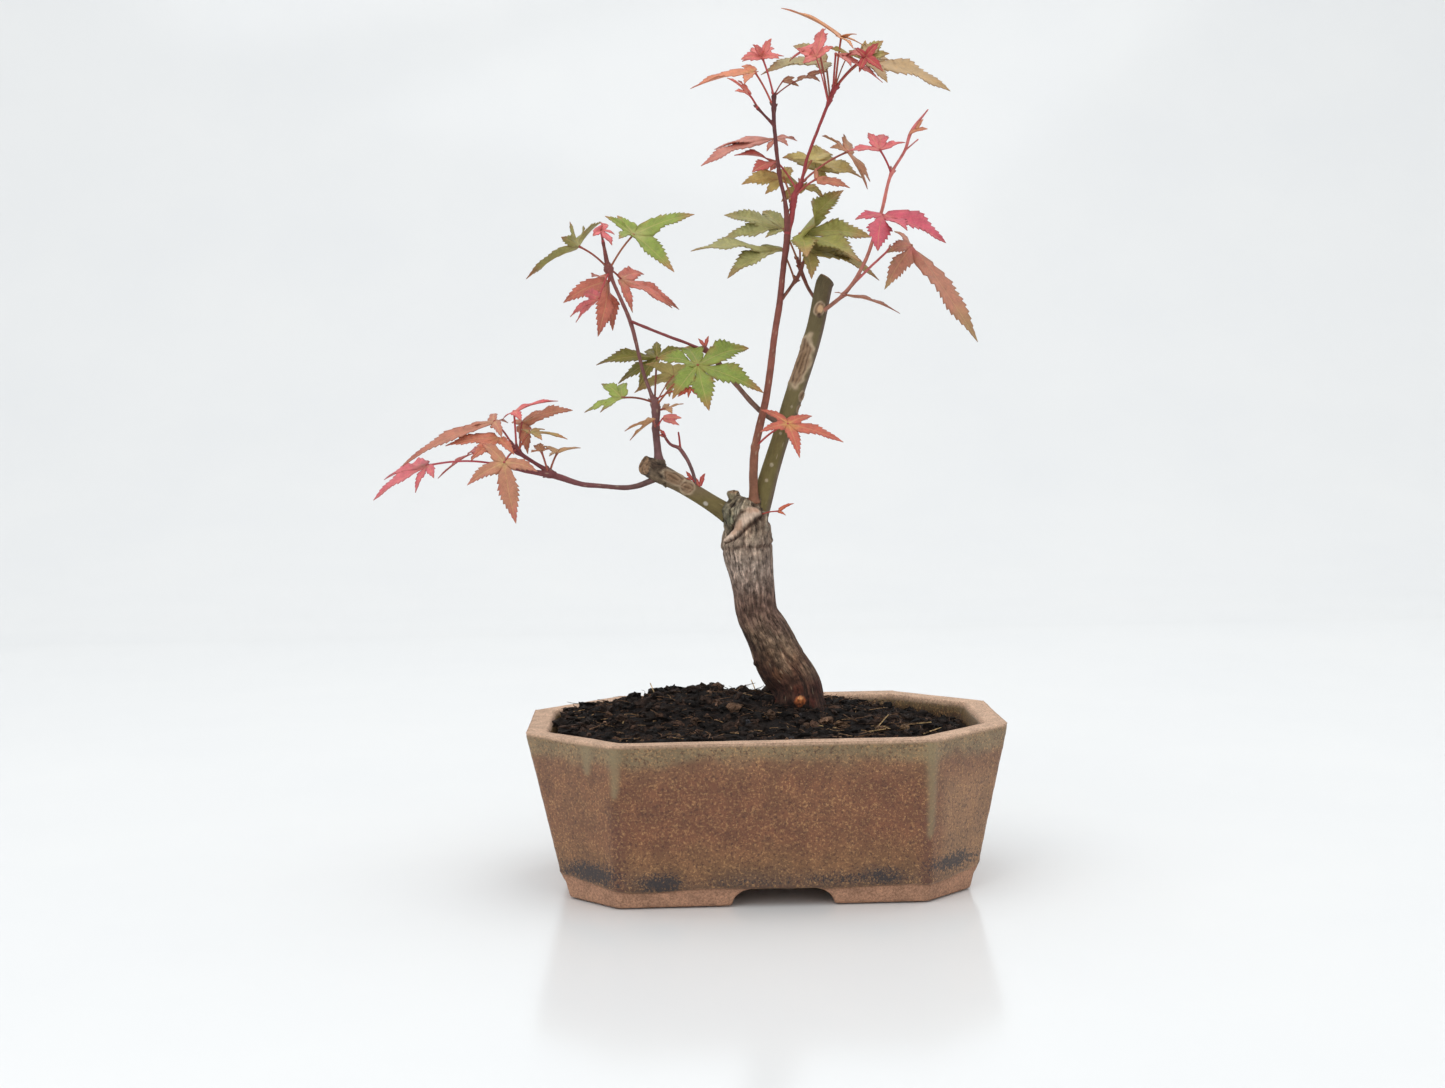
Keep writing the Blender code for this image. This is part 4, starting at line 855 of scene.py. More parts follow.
def soil_finish(name):
    """Peat: a stored tint with a coarse grain and fine fibres."""
    finish = Finish(name, Roughness=0.92, Specular_IOR_Level=0.25)
    place = finish.place()
    grain, fibres = finish.noise(place, 1.0, 5.0, 0.8), finish.noise(place, 2.4, 4.0)
    tinted = finish.scaled(finish.stored("tint"), finish.step(grain, 0.36, 0.64, 0.45, 1.6))
    tinted = finish.scaled(tinted, finish.step(fibres, 0.36, 0.64, 0.7, 1.35))
    return finish.close(tinted, finish.plus(grain, fibres), 0.6)


def plain_finish(name, colours, roughness, size, relief, **constants):
    """Plastic or wire: a worn, slightly uneven surface."""
    finish = Finish(name, **constants)
    place = finish.place()
    wear, scratch = finish.noise(place, size, 4.0), finish.noise(place, 0.3 * size, 3.0)
    tinted = finish.mix(finish.step(wear, 0.3, 0.7), *colours)
    shine = finish.step(scratch, 0.3, 0.7, roughness - 0.1, roughness + 0.12)
    return finish.close(tinted, scratch, relief, shine)


# ---------------------------------------------------------------- pot

def octagon_distance(x, y, half_x, half_y, corner):
    """Distance outside the walls of an oblong with cut corners (mm, less than nought inside)."""
    diagonal = (np.abs(x) + np.abs(y) - (half_x + half_y - corner)) / sqrt(2.0)
    return np.maximum.reduce([np.abs(x) - half_x, np.abs(y) - half_y, diagonal])


def pot_section(z, inset=0.0):
    """Half length, half depth and corner cut of the pot at z under its rim, moved inwards."""
    drop = z / FOOT
    half_x = (POT_HIGH.x - POT_LOW.x) / 2 / MM - END_TAPER * drop - inset
    half_y = (POT_HIGH.y - POT_LOW.y) / 2 / MM - SIDE_TAPER * drop - inset
    corner = RIM_CORNER - CORNER_TAPER * drop - inset * (2.0 - sqrt(2.0))
    return half_x, half_y, corner


def cad_shape(node):
    """A CAD node's points in mm from the rim's centre, and its faces."""
    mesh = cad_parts[node].data
    points = np.empty(3 * len(mesh.vertices))
    mesh.vertices.foreach_get("co", points)
    points = (points.reshape(-1, 3) - np.array(RIM)) / MM
    return points, [tuple(polygon.vertices) for polygon in mesh.polygons]


def glaze_depth(points, outside):
    """How far a point lies into the glaze (mm, under nought on bare clay) and over its lower line."""
    above_foot = points[:, 2] - FOOT
    level = points * (1, 1, 0)
    wave = value_noise(level, 26.0, 3) * 1.3 + value_noise(level, 8.0, 4) * 0.5
    above_line = above_foot - (GLAZE_LINE + wave + 2.2 * smooth_step(60.0, 85.0, np.abs(points[:, 0])))
    below_lip = -points[:, 2] - 1.3 - 0.35 * value_noise(points, 12.0, 5)
    into_glaze = np.where(outside, np.minimum(above_line, below_lip), -points[:, 2] - 2.0)
    into_glaze = np.where((above_foot < FOOT_TOP) & ~outside, -3.0, into_glaze)
    return into_glaze, above_line


def drips_and_patches(skin, points, outside):
    """Strength of the runs of glaze and of the dark patches, on the pot's front and back."""
    x, y, z = skin.T
    drip, dark = np.zeros(len(points)), np.zeros(len(points))
    runs = x + 0.7 * value_noise(points * (0.3, 1, 1), 11.0, 9)
    for side, shift in ((-1.0, 0.0), (1.0, BACK_SHIFT)):
        here = (y * side > 0.0) * outside
        for place, end, half_width in DRIPS:
            width = half_width * (1.0 - 0.55 * np.clip(-z / end, 0.0, 1.0))
            share = 1.0 - np.abs(runs + place * side - shift) / (2.0 * width)
            drip = np.maximum(drip, share * smooth_step(end + 1.5, end - 2.0, -z) * here)
        for place, depth, half_x, half_z, strength in PATCHES:
            away = ((x * -side - place) / half_x) ** 2 + ((-z - depth) / half_z) ** 2
            dark = np.maximum(dark, strength * np.exp(-away) * here)
    return drip, dark - 0.25


def pot_tints(skin, points, outside, into_glaze):
    """Colours of the pot: olive under the lip, rust and tan below, bare clay at lip and foot, and painted
    shade down the vertical edges beside the corner faces.
    """
    x, y, z = skin.T
    uneven = -z + 3.0 * value_noise(points, 14.0, 11) + 1.6 * value_noise(points, 5.0, 12)
    levels = {0: "olive", 6: "olive", 10: "base", 17: "rust", 38: "rust", 50: "tan", 58: "grey"}
    tints = gradient({level: POT_COLOURS[key] for level, key in levels.items()}, uneven)
    corner_face = smooth_step(58.0, 70.0, np.abs(x))
    warm = smooth_step(0.0, 0.8, rough_noise(points, 24.0, 3, 13)) * smooth_step(8.0, 20.0, -z)
    right_corner = smooth_step(66.0, 72.0, x) * smooth_step(12.0, 24.0, -z) * smooth_step(0.0, -20.0, y)
    # Dark band down the vertical edges between the long faces and the corner faces: painted shade.
    fold = np.exp(-((np.abs(x) - 62.0) / 3.0) ** 2) * smooth_step(20.0, 34.0, -z)
    tints = painted(tints, POT_COLOURS, {
        "tan": 0.35 * corner_face * smooth_step(8.0, 16.0, -z) + 0.3 * warm,
        "corner": 0.6 * right_corner,
        "edge_shade": 0.7 * fold,
    })
    stains = smooth_step(3.5, 8.0, -z + 3.0 * rough_noise(points, 9.0, 3, 14))
    inner = covered(plain_tint(POT_COLOURS["inner"], len(points)), POT_COLOURS["stain"], 0.85 * stains)
    tints = np.where(outside[:, None], tints, inner)
    clay = gradient({0: POT_COLOURS["lip"], 20: POT_COLOURS["foot"]}, -z)
    return tints + (clay - tints) * smooth_step(0.6, -0.6, into_glaze)[:, None]


def make_pot():
    """The pot's own shape with an even skin, worn edges, a slight wobble and glaze that stands proud."""
    skin, faces, normals = remeshed(cad_shape("pot"), POT_VOXEL, 3)
    outside = octagon_distance(*skin[:, :2].T, *pot_section(skin[:, 2])) > -0.5 * WALL
    into_glaze, above_line = glaze_depth(skin, outside)
    proud = 0.32 * smooth_step(-0.3, 0.9, into_glaze)
    roll = 0.22 * np.exp(-((above_line - 1.3) / 1.2) ** 2)
    wobble = 0.25 * rough_noise(skin, 30.0, 2, 7) + 0.05 * value_noise(skin, 5.0, 8)
    points = skin + normals * (np.where(outside, proud + roll, 0.5 * proud) + wobble - 0.3)[:, None]
    points[:, 2] = np.clip(points[:, 2], FOOT, 0.0)
    zones = np.column_stack([into_glaze, *drips_and_patches(skin, points, outside)])
    add_piece("pot_stoneware", (points, faces), stoneware_finish("glazed_stoneware"),
              "pot", pot_tints(skin, points, outside, into_glaze), {"zones": zones})


# ---------------------------------------------------------------- soil

def soil_level(x, y):
    """Height of the soil over the rim's plane in mm: a mound left of the trunk, low at the right end."""
    mound = 13.0 * np.exp(-((x + 15.0) / 58.0) ** 2 - ((y - 6.0) / 42.0) ** 2)
    mound = mound + 2.6 * np.exp(-((x + 40.0) / 20.0) ** 2 - ((y - 12.0) / 20.0) ** 2)
    right_end = 5.0 / (1.0 + np.exp(-(x - 62.0) / 8.0))
    return mound - right_end - 4.0


def soil_surface(x, y):
    """The soil's level with its clods and hollows."""
    flat = np.column_stack([x, y, np.zeros(len(x))])
    clods = 1.6 * rough_noise(flat, 9.0, 3, 21) + 1.5 * np.abs(rough_noise(flat, 3.6, 3, 24))
    half_x, half_y, corner = pot_section(-4.0, WALL)
    near_wall = smooth_step(-22.0, 0.0, octagon_distance(x, y, half_x, half_y, corner))
    banked = 2.4 * near_wall * smooth_step(62.0, 20.0, x)
    return soil_level(x, y) - 0.7 + clods + banked


def soil_bed():
    """Closed body: a fine field on top, and plain walls and floor inside the pot."""
    inset = WALL + CLEARANCE
    half_x, half_y, corner = pot_section(-10.0, inset)
    columns = np.arange(-half_x, half_x + SOIL_GRID, SOIL_GRID)
    rows = np.arange(-half_y, half_y + SOIL_GRID, SOIL_GRID)
    x, y = [grid.ravel() for grid in np.meshgrid(columns, rows)]
    keep = octagon_distance(x, y, half_x, half_y, corner) < 0.0
    number = np.full(len(x), -1)
    number[keep] = np.arange(keep.sum())
    points = np.column_stack([x, y, soil_surface(x, y)])[keep]
    wide = len(columns)
    faces = []
    for row in range(len(rows) - 1):
        for column in range(wide - 1):
            start = row * wide + column
            corners = [int(number[index]) for index in (start, start + 1, start + wide + 1, start + wide)]
            if min(corners) >= 0:
                faces.append(tuple(corners))
    used = np.unique(np.array(faces))
    renumber = np.full(len(points), -1)
    renumber[used] = np.arange(len(used))
    points = points[used]
    faces = [tuple(int(renumber[index]) for index in face) for face in faces]
    follow = dict(border_edges(faces))
    start = next(iter(follow))
    border = [start]
    while follow[border[-1]] != start:
        border.append(follow[border[-1]])
    ring = border
    bottom = SOIL_FLOOR + FOOT
    for depth in (-12.0, 0.5 * bottom, bottom):
        section = pot_section(depth, inset)
        shrink = np.array([section[0] / half_x, section[1] / half_y])
        flat = points[border][:, :2] * shrink * 0.995
        lower = list(range(len(points), len(points) + len(border)))
        points = np.vstack([points, np.column_stack([flat, np.full(len(flat), depth)])])
        for index in range(len(ring)):
            following = (index + 1) % len(ring)
            faces.append((ring[following], ring[index], lower[index], lower[following]))
        ring = lower
    faces.append(tuple(reversed(ring)))
    return points, faces


def scatter_on_soil(draw, count, margin):
    """Random places on the soil, clear of the walls by a margin."""
    half_x, half_y, corner = pot_section(-8.0, WALL + CLEARANCE + margin)
    places = draw.uniform((-half_x, -half_y), (half_x, half_y), (count, 2))
    return places[octagon_distance(places[:, 0], places[:, 1], half_x, half_y, corner) < 0.0]


def crumb(draw, place, size):
    """Lump of peat: a rough ball, flattened and turned at random."""
    points, faces = CRUMB_BALL
    seed = int(draw.integers(1000))
    spread = points * 10.0
    bumps = 1.0 + 0.6 * value_noise(spread, 8.0, seed) + 0.6 * value_noise(spread, 3.5, seed + 1)
    stretch = draw.uniform((0.8, 0.4, 0.3), (1.9, 1.0, 0.85))
    heading = Matrix.Rotation(draw.uniform(0.0, 2.0 * pi), 3, "Z")
    turn = heading @ Matrix.Rotation(draw.uniform(-1.2, 1.2), 3, "X")
    lump = (points * bumps[:, None] * stretch) @ np.array(turn).T * size
    return lump + place, faces


def fibre(draw, place, length, radius, lift):
    """Rootlet or straw that curls over the soil."""
    heading, steps = draw.uniform(0.0, 2.0 * pi), max(4, int(length / 1.6))
    spot, line = np.array(place), []
    rise = draw.uniform(-0.1, lift)
    for step in range(steps + 1):
        line.append((*spot, radius * (1.0 - 0.5 * step / steps)))
        heading += draw.uniform(-0.5, 0.5)
        rise = 0.75 * rise + draw.uniform(-0.12, 0.1)
        spot = spot + np.array((cos(heading), sin(heading), rise)) * length / steps
    return tube(np.array(line), 5)


def make_soil():
    """Soil bed, crumbs of peat with some clods, and rootlets with a few straws, as three pieces."""
    draw = np.random.default_rng(SOIL_SEED)
    finish = soil_finish("potting_soil")
    bed, faces = soil_bed()
    share = smooth_step(0.1, 0.9, rough_noise(bed, 5.0, 3, 33))
    tints = covered(plain_tint(SOIL_DARK, len(bed)), SOIL_BROWN, 0.55 * share)
    pieces = [add_piece("soil_bed", (bed, faces), finish, "soil", tints)]

    def on_surface(x, y, above):
        return np.array((x, y, float(soil_surface(np.array([x]), np.array([y]))[0]) + above))

    def any_of(colours, chances):
        return colours[int(draw.choice(len(colours), p=chances))]

    def add_scatter(name, entries):
        """One piece of many lumps or fibres, each with its own colour."""
        shades = [linear(colour) * draw.uniform(0.78, 1.25) for shape, colour in entries]
        tints = [np.tile(shade, (len(shape[0]), 1)) for shade, (shape, colour) in zip(shades, entries)]
        shape = joined([shape for shape, colour in entries])
        pieces.append(add_piece(name, shape, finish, None, np.vstack(tints)))

    crumbs = []
    for x, y in scatter_on_soil(draw, CRUMBS, 1.2):
        size = 0.4 + 1.9 * draw.random() ** 3.2
        colour = any_of(CRUMB_COLOURS, CRUMB_CHANCES if size < 1.1 else CLOD_CHANCES)
        crumbs.append((crumb(draw, on_surface(x, y, 0.25 * size), size), colour))
    for x, y, size, colour in SOIL_CLODS:
        for _ in range(3):
            spot = on_surface(x, y, 0.35 * size) + draw.uniform(-0.5, 0.5, 3) * size
            crumbs.append((crumb(draw, spot, 0.7 * size), colour))
    add_scatter("soil_crumbs", crumbs)

    fibres = []
    for x, y in scatter_on_soil(draw, FIBRES, 5.0):
        colour = any_of(FIBRE_COLOURS, FIBRE_CHANCES)
        length, radius = draw.uniform(2.5, 10.0), draw.uniform(0.12, 0.3)
        fibres.append((fibre(draw, on_surface(x, y, 0.6), length, radius, 0.6), colour))
    for x, y, length, heading, rise in STRAWS:
        foot = on_surface(x, y, 0.6)
        reach = np.array((cos(heading), sin(heading), rise)) * length
        line = np.array([(*(foot + reach * t), 0.26 - 0.06 * t) for t in (0.0, 0.5, 1.0)])
        fibres.append((tube(line, 6, (0.2, 0.2)), STRAW_COLOUR))
    add_scatter("soil_rootlets", fibres)
    for piece in pieces:
        piece.data.shade_flat()


# ---------------------------------------------------------------- wood

def stem_space(points, stems):
    """For each point: its stem, length along it, angle round it, and distance in stem radii."""
    best = np.full(len(points), np.inf)
    number = np.zeros(len(points), int)
    length, turn, reach = (np.zeros(len(points)) for _ in range(3))
    for order, line in enumerate(stems):
        along, sides, others = line_frames(line)
        arc = np.concatenate([[0.0], np.cumsum(np.linalg.norm(np.diff(line[:, :3], axis=0), axis=1))])
        tree = kdtree.KDTree(len(line))
        for index, point in enumerate(line[:, :3]):
            tree.insert(point, index)
        tree.balance()
        found = np.array([tree.find(point)[1] for point in points])
        offset = points - line[found, :3]
        ahead, beside, above = (
            np.einsum("ij,ij->i", offset, frames[found]) for frames in (along, sides, others)
        )
        away = np.linalg.norm(offset - ahead[:, None] * along[found], axis=1)
        score = np.linalg.norm(offset, axis=1) / line[found, 3]
        closer = score < best
        best = np.where(closer, score, best)
        number = np.where(closer, order, number)
        length = np.where(closer, arc[found] + ahead, length)
        turn = np.where(closer, np.arctan2(above, beside), turn)
        reach = np.where(closer, away / np.maximum(line[found, 3], 0.3), reach)
    return number, length, turn, reach


def straightened(number, length, turn, radii):
    """Positions in mm as if each stem stood straight up, so that grain runs along the stems."""
    girth = np.array(radii)[number]
    return np.column_stack([girth * np.cos(turn) + 40.0 * number, girth * np.sin(turn), length])


def cracks_of(places, size, seed, narrow):
    """Network of cracks, 1 on a crack's line and 0 away from it."""
    return np.exp(-(rough_noise(places, size, 2, seed) / narrow) ** 2)


def on_skin(points, place):
    """The skin's point that lies closest to a place."""
    return points[np.linalg.norm(points - np.array(place, float), axis=1).argmin()]


def callus_lip(points):
    """How much each point belongs to the ridge of callus, and to the crack that runs below it."""
    lip, crack = np.zeros(len(points)), np.zeros(len(points))
    for spot in smooth_line([(*on_skin(points, spot[:3]), spot[3]) for spot in CALLUS_LIP], 0.5):
        away = np.linalg.norm(points - spot[:3], axis=1) / spot[3]
        lip = np.maximum(lip, np.exp(-away ** 4))
        below = np.exp(-((away - 1.45) / 0.3) ** 2) * (points[:, 2] < spot[2] + 0.8)
        crack = np.maximum(crack, below)
    return lip, crack * (1.0 - lip)


def old_bark_tints(points, normals, number, grain, straight):
    """Colours of the old bark by height, side and grain, with painted shade on both flanks of the trunk, on
    the right limb's right flank and in a hollow on the trunk's left side.
    """
    z, facing = points[:, 2], normals[:, 0]
    on_trunk = (number == 0).astype(float)
    tints = gradient(TRUNK_STOPS, z + 3.0 * rough_noise(points, 7.0, 3, 60))
    tints = np.where(np.isin(number, (1, 4))[:, None], gradient(LEFT_LIMB_STOPS, z), tints)
    tints = np.where((number == 2)[:, None], gradient(RIGHT_LIMB_STOPS, z), tints)
    tints = tints * (1.0 + (0.06 + 0.12 * on_trunk[:, None]) * value_noise(grain, 2.2, 61)[:, None])
    shadow = smooth_step(-0.4, -0.95, facing) * smooth_step(40.0, 28.0, z) * on_trunk
    dusk = smooth_step(-0.1, 0.4, rough_noise(points, 7.0, 4, 63))
    dusk = dusk * smooth_step(58.0, 48.0, z) * on_trunk
    # Painted shade in a hollow on the trunk's left side at about 30 mm.
    hollow_shade = np.exp(-((z - 30.0) / 7.0) ** 2) * smooth_step(0.0, -0.7, facing) * on_trunk
    streak = smooth_step(0.0, 0.5, value_noise(grain, 2.6, 64)) * smooth_step(46.0, 32.0, z) * on_trunk
    red = smooth_step(0.0, 0.6, value_noise(straight, 5.0, 66)) * smooth_step(22.0, 8.0, z) * on_trunk
    return painted(tints, BARK_COLOURS, {
        # painted shade on the trunk's right-facing flank
        "shade_right_side": 0.35 * smooth_step(0.3, 0.9, facing) * on_trunk,
        # painted shade on the right limb's right-facing flank
        "limb_shade_right_side": 0.7 * smooth_step(0.35, 0.9, facing) * (number == 2),
        "shadow": 0.75 * shadow,
        "dusk": 0.45 * dusk,
        "hollow_shade": 0.7 * hollow_shade * (1.0 + 0.4 * rough_noise(points, 3.0, 3, 65)),
        "streak": 0.5 * streak * smooth_step(13.0, 25.0, z),
        "red": 0.7 * red,
    })


def add_scar(scar, points, normals, rise, tints):
    """One healed wound: a raised edge and a fold round a lined, slightly sunken face."""
    x, height, turn_of_scar, half_long, half_wide = scar
    lean = radians(turn_of_scar)
    front = smooth_step(0.2, -0.2, normals[:, 1])
    past_x, past_z = points[:, 0] - x, points[:, 2] - height
    beyond = past_x * cos(lean) + past_z * sin(lean)
    beside = past_z * cos(lean) - past_x * sin(lean)
    out = np.hypot(beyond / half_long, beside / half_wide) + 0.2 * value_noise(points, 2.2, 75)
    edge = np.exp(-((out - 1.0) / 0.17) ** 2) * front
    fold = np.exp(-((out - 0.55) / 0.12) ** 2) * front
    inside = smooth_step(1.0, 0.85, out) * front
    lines = np.sin(beside * 2.0 * pi / SCAR_LINES + 2.0 * value_noise(points, 2.5, 76))
    worn = 0.75 + 0.5 * value_noise(points, 1.7, 77)
    return rise + (0.4 * edge + 0.25 * fold - 0.1 * inside), painted(tints, BARK_COLOURS, {
        "scar": 0.85 * inside,
        "scar_line": 0.8 * inside * smooth_step(0.1, -0.6, lines),
        "scar_fold": 0.6 * fold * worn,
        "scar_edge": 0.75 * edge * worn,
    })


def sawn_off(place, way, points, tints):
    """The wood past a cut pressed flat onto it, in the colour of old end grain with dark pith."""
    spot, normal = np.array(place, float), unit(np.array(way, float))
    past = (points - spot) @ normal
    near = np.linalg.norm(points - spot, axis=1) < CUT_REACH
    face = near * smooth_step(-0.35, 0.1, past)
    points = points - normal * (np.maximum(past, 0.0) * near)[:, None]
    pith = smooth_step(0.1, 0.45, rough_noise(points, 1.3, 2, 79))
    return points, painted(tints, BARK_COLOURS, {"sawn": 0.9 * face, "pith": 0.8 * face * pith})


def make_trunk():
    """Trunk with its cut-back limbs: one skin with bark relief, crown knobs, callus, scars and cuts."""
    stems = [smooth_line(line, OLD_WOOD_STEP) for line in OLD_WOOD]
    STEMS["trunk"] = stems
    shape = joined([tube(stem, spokes, (0.3, 0.25)) for stem, spokes in zip(stems, OLD_WOOD_SPOKES)])
    points, faces, normals = remeshed(shape, TRUNK_VOXEL, 3)
    number, length, turn, _ = stem_space(points, stems)
    straight = straightened(number, length, turn, OLD_WOOD_GIRTHS)
    grain = straight * (1.0, 1.0, 0.28)
    x, z = points[:, 0], points[:, 2]
    on_trunk = (number == 0).astype(float)
    crown = np.exp(-((z - 86.0) / 8.0) ** 2) * ((number == 0) | (number == 3))
    crown = np.maximum(crown, 0.7 * (number == 3))
    end_knobs = ((number == 4) | ((number == 1) & (x < -40.0))).astype(float)
    knobs = rough_noise(points, 3.0, 3, 51)

    deep = cracks_of(grain, 1.9, 41, 0.2) * on_trunk
    fine = cracks_of(grain, 1.4, 44, 0.24)
    swell = rough_noise(straight * (1.0, 1.0, 0.5), 9.0, 3, 47)
    rise = on_trunk * (0.5 * swell - 0.2 * deep - 0.08 * fine) + (1.0 - on_trunk) * 0.22 * swell
    rise += crown * (1.5 * knobs + 0.2) + end_knobs * (0.7 * knobs + 0.35)
    bend = z - 72.5 - 2.0 * value_noise(points, 8.0, 55) - 0.05 * (x + 6.0)
    ring = np.exp(-(bend / 0.9) ** 2) * on_trunk * smooth_step(-0.7, 0.1, value_noise(points, 5.0, 56))
    rise += 0.45 * np.exp(-((bend - 2.0) / 2.0) ** 2) * on_trunk - 0.5 * ring
    flare = np.exp(-(z + 1.0) / 7.0) * on_trunk * value_noise(straight, 7.0, 57)
    rise += 1.2 * np.clip(flare, 0.0, 1.0)
    lip, lip_crack = callus_lip(points)
    rise += 1.1 * lip - 0.7 * lip_crack

    tints = painted(old_bark_tints(points, normals, number, grain, straight), BARK_COLOURS, {
        "crack": on_trunk * (0.42 * deep + 0.25 * fine),
        "ring": 0.45 * ring,
        "knob_pit": 0.75 * np.maximum(crown, end_knobs) * smooth_step(0.05, -0.4, knobs),
        "knob": 0.7 * crown * smooth_step(0.0, 0.45, knobs),
        "moss": 0.5 * smooth_step(-8.0, -13.0, x) * crown,
        "callus": 0.95 * lip * (0.85 + 0.3 * value_noise(grain, 1.2, 73)),
        "callus_stain": 0.5 * lip * smooth_step(0.0, 0.5, value_noise(points, 2.4, 74)),
        "callus_edge": 0.85 * lip_crack,
    })
    for scar in SCARS:
        rise, tints = add_scar(scar, points, normals, rise, tints)
    # The marks include a painted highlight on the knot low on the trunk.
    for place, size, lift, colour, strength in BARK_MARKS:
        away = np.linalg.norm(points - on_skin(points, place), axis=1) / size
        mark = np.exp(-(away ** 2) * 1.1) * (1.0 + 0.25 * value_noise(points, 1.2, 71))
        rise += lift * mark
        tints = covered(tints, colour, strength * smooth_step(0.25, 0.6, mark))
    points = points + normals * rise[:, None]
    for place, way in SAWN_ENDS:
        points, tints = sawn_off(place, way, points, tints)
    coarse = np.maximum(on_trunk, 0.7 * np.maximum(crown, end_knobs))
    coarse = coarse * (1.0 - 0.75 * np.clip(lip, 0.0, 1.0))
    coarse = np.repeat(np.maximum(coarse, 0.16)[:, None], 3, axis=1)
    add_piece("trunk_bark", (points, faces), bark_finish("old_bark", 0.35, 0.54, 0.85), "trunk",
              tints, {"stem": straight * (1.0, 1.0, 0.22), "coarse": coarse})


def bud(spot, direction, length, radius):
    """Pointed bud, as a short tube."""
    direction = unit(np.array(direction))
    shares = ((0.0, 0.6), (0.2, 0.95), (0.45, 1.0), (0.7, 0.7), (0.88, 0.4), (1.0, 0.12))
    line = [(*(np.array(spot) + direction * length * along), radius * wide) for along, wide in shares]
    return tube(np.array(line), 8, (0.3, 0.6))


def nearest_on(host, place):
    """Nearest sample of a host's centre lines: its point with radius, and the direction there."""
    found = []
    for line in STEMS[host]:
        gaps = np.linalg.norm(line[:, :3] - np.array(place, float), axis=1)
        index = int(gaps.argmin())
        found.append((gaps[index], line[index], line_frames(line)[0][index]))
    return min(found, key=lambda entry: entry[0])[1:]


def make_shoot(name, lines):
    """Young shoot with swollen nodes, two buds at each leaf stalk and bark that reddens to the tip."""
    stems = []
    for order, line in enumerate(lines):
        stem = smooth_line(line, SHOOT_STEP)
        start = np.arange(len(stem)) * SHOOT_STEP
        stem[:, 3] *= 1.0 + (0.55 if order == 0 else 0.35) * np.exp(-start / 1.8)
        stems.append(stem)
    STEMS[name] = stems
    buds = []
    for place, hub in [(leaf[3], leaf[4]) for leaf in LEAVES if leaf[2] == name]:
        spot, along = nearest_on(name, place)
        away = np.array(hub, float) - spot[:3]
        away = away - along * away.dot(along)
        away = away / max(np.linalg.norm(away), 0.01)
        for stem in stems:
            gap = np.linalg.norm(stem[:, :3] - spot[:3], axis=1)
            stem[:, 3] += 0.3 * np.exp(-(gap / 1.1) ** 2)
        root = spot[:3] + away * spot[3] * 0.6 + along * 0.9
        buds.append(bud(root, along * 1.4 + away, 2.2, 0.55))
        buds.append(bud(spot[:3] - away * spot[3] * 0.6 + along * 0.6, along * 1.5 - away, 1.8, 0.5))
    shape = joined([tube(stem, 12, (0.3, 0.8)) for stem in stems] + buds)
    points, faces, normals = remeshed(shape, SHOOT_VOXEL, 2)
    number, length, turn, reach = stem_space(points, stems)
    straight = straightened(number, length, turn, [1.4] * len(stems))
    ribs = value_noise(straight * (1.0, 1.0, 0.2), 1.0, 81)
    points = points + normals * (0.05 * ribs + 0.1 * rough_noise(straight, 3.0, 2, 83))[:, None]
    total = max(float(length[number == 0].max()), 1.0)
    share = np.where(number == 0, length / total, 0.75 + 0.25 * smooth_step(0.0, 25.0, length))
    stops = SHOOT_COLOURS[name]
    tints = gradient(zip(np.linspace(0.0, 1.0, len(stops)), stops), share) * 1.08
    tints = tints * (1.0 + 0.16 * ribs + 0.1 * rough_noise(straight, 5.0, 2, 85))[:, None]
    if name in SIDE_STEM_COLOURS:
        tints = covered(tints, SIDE_STEM_COLOURS[name], 0.85 * (number == 1))
    tints = covered(tints, BARK_COLOURS["node"], 0.5 * smooth_step(1.12, 1.6, reach))
    finish = bark_finish(f"young_bark_{name}", 0.06, 0.2, 0.5, 0.35)
    add_piece(f"{name}_bark", (points, faces), finish, name, tints,
              {"stem": straight * (1.0, 1.0, 0.3)})


# ---------------------------------------------------------------- leaves

def blade_normal(points):
    """Normal of the plane that lies closest to the points."""
    cloud = np.array(points, float)
    normal = np.linalg.svd(cloud - cloud.mean(axis=0))[2][2]
    return normal if normal[2] >= 0.0 else -normal


def lobe_line(hub, tip, shares, normal, bend):
    """Midrib of a lobe: it rises from the hub, droops to the tip and bends a little to one side."""
    reach = tip - hub
    length = np.linalg.norm(reach)
    middle = hub + reach * 0.5 + np.array((0.0, 0.0, LOBE_LIFT * length))
    t = shares[:, None]
    line = hub * (1 - t) ** 2 + middle * (2 * t * (1 - t)) + tip * t ** 2
    return line + unit(np.cross(normal, reach)) * bend * length * np.sin(pi * t)


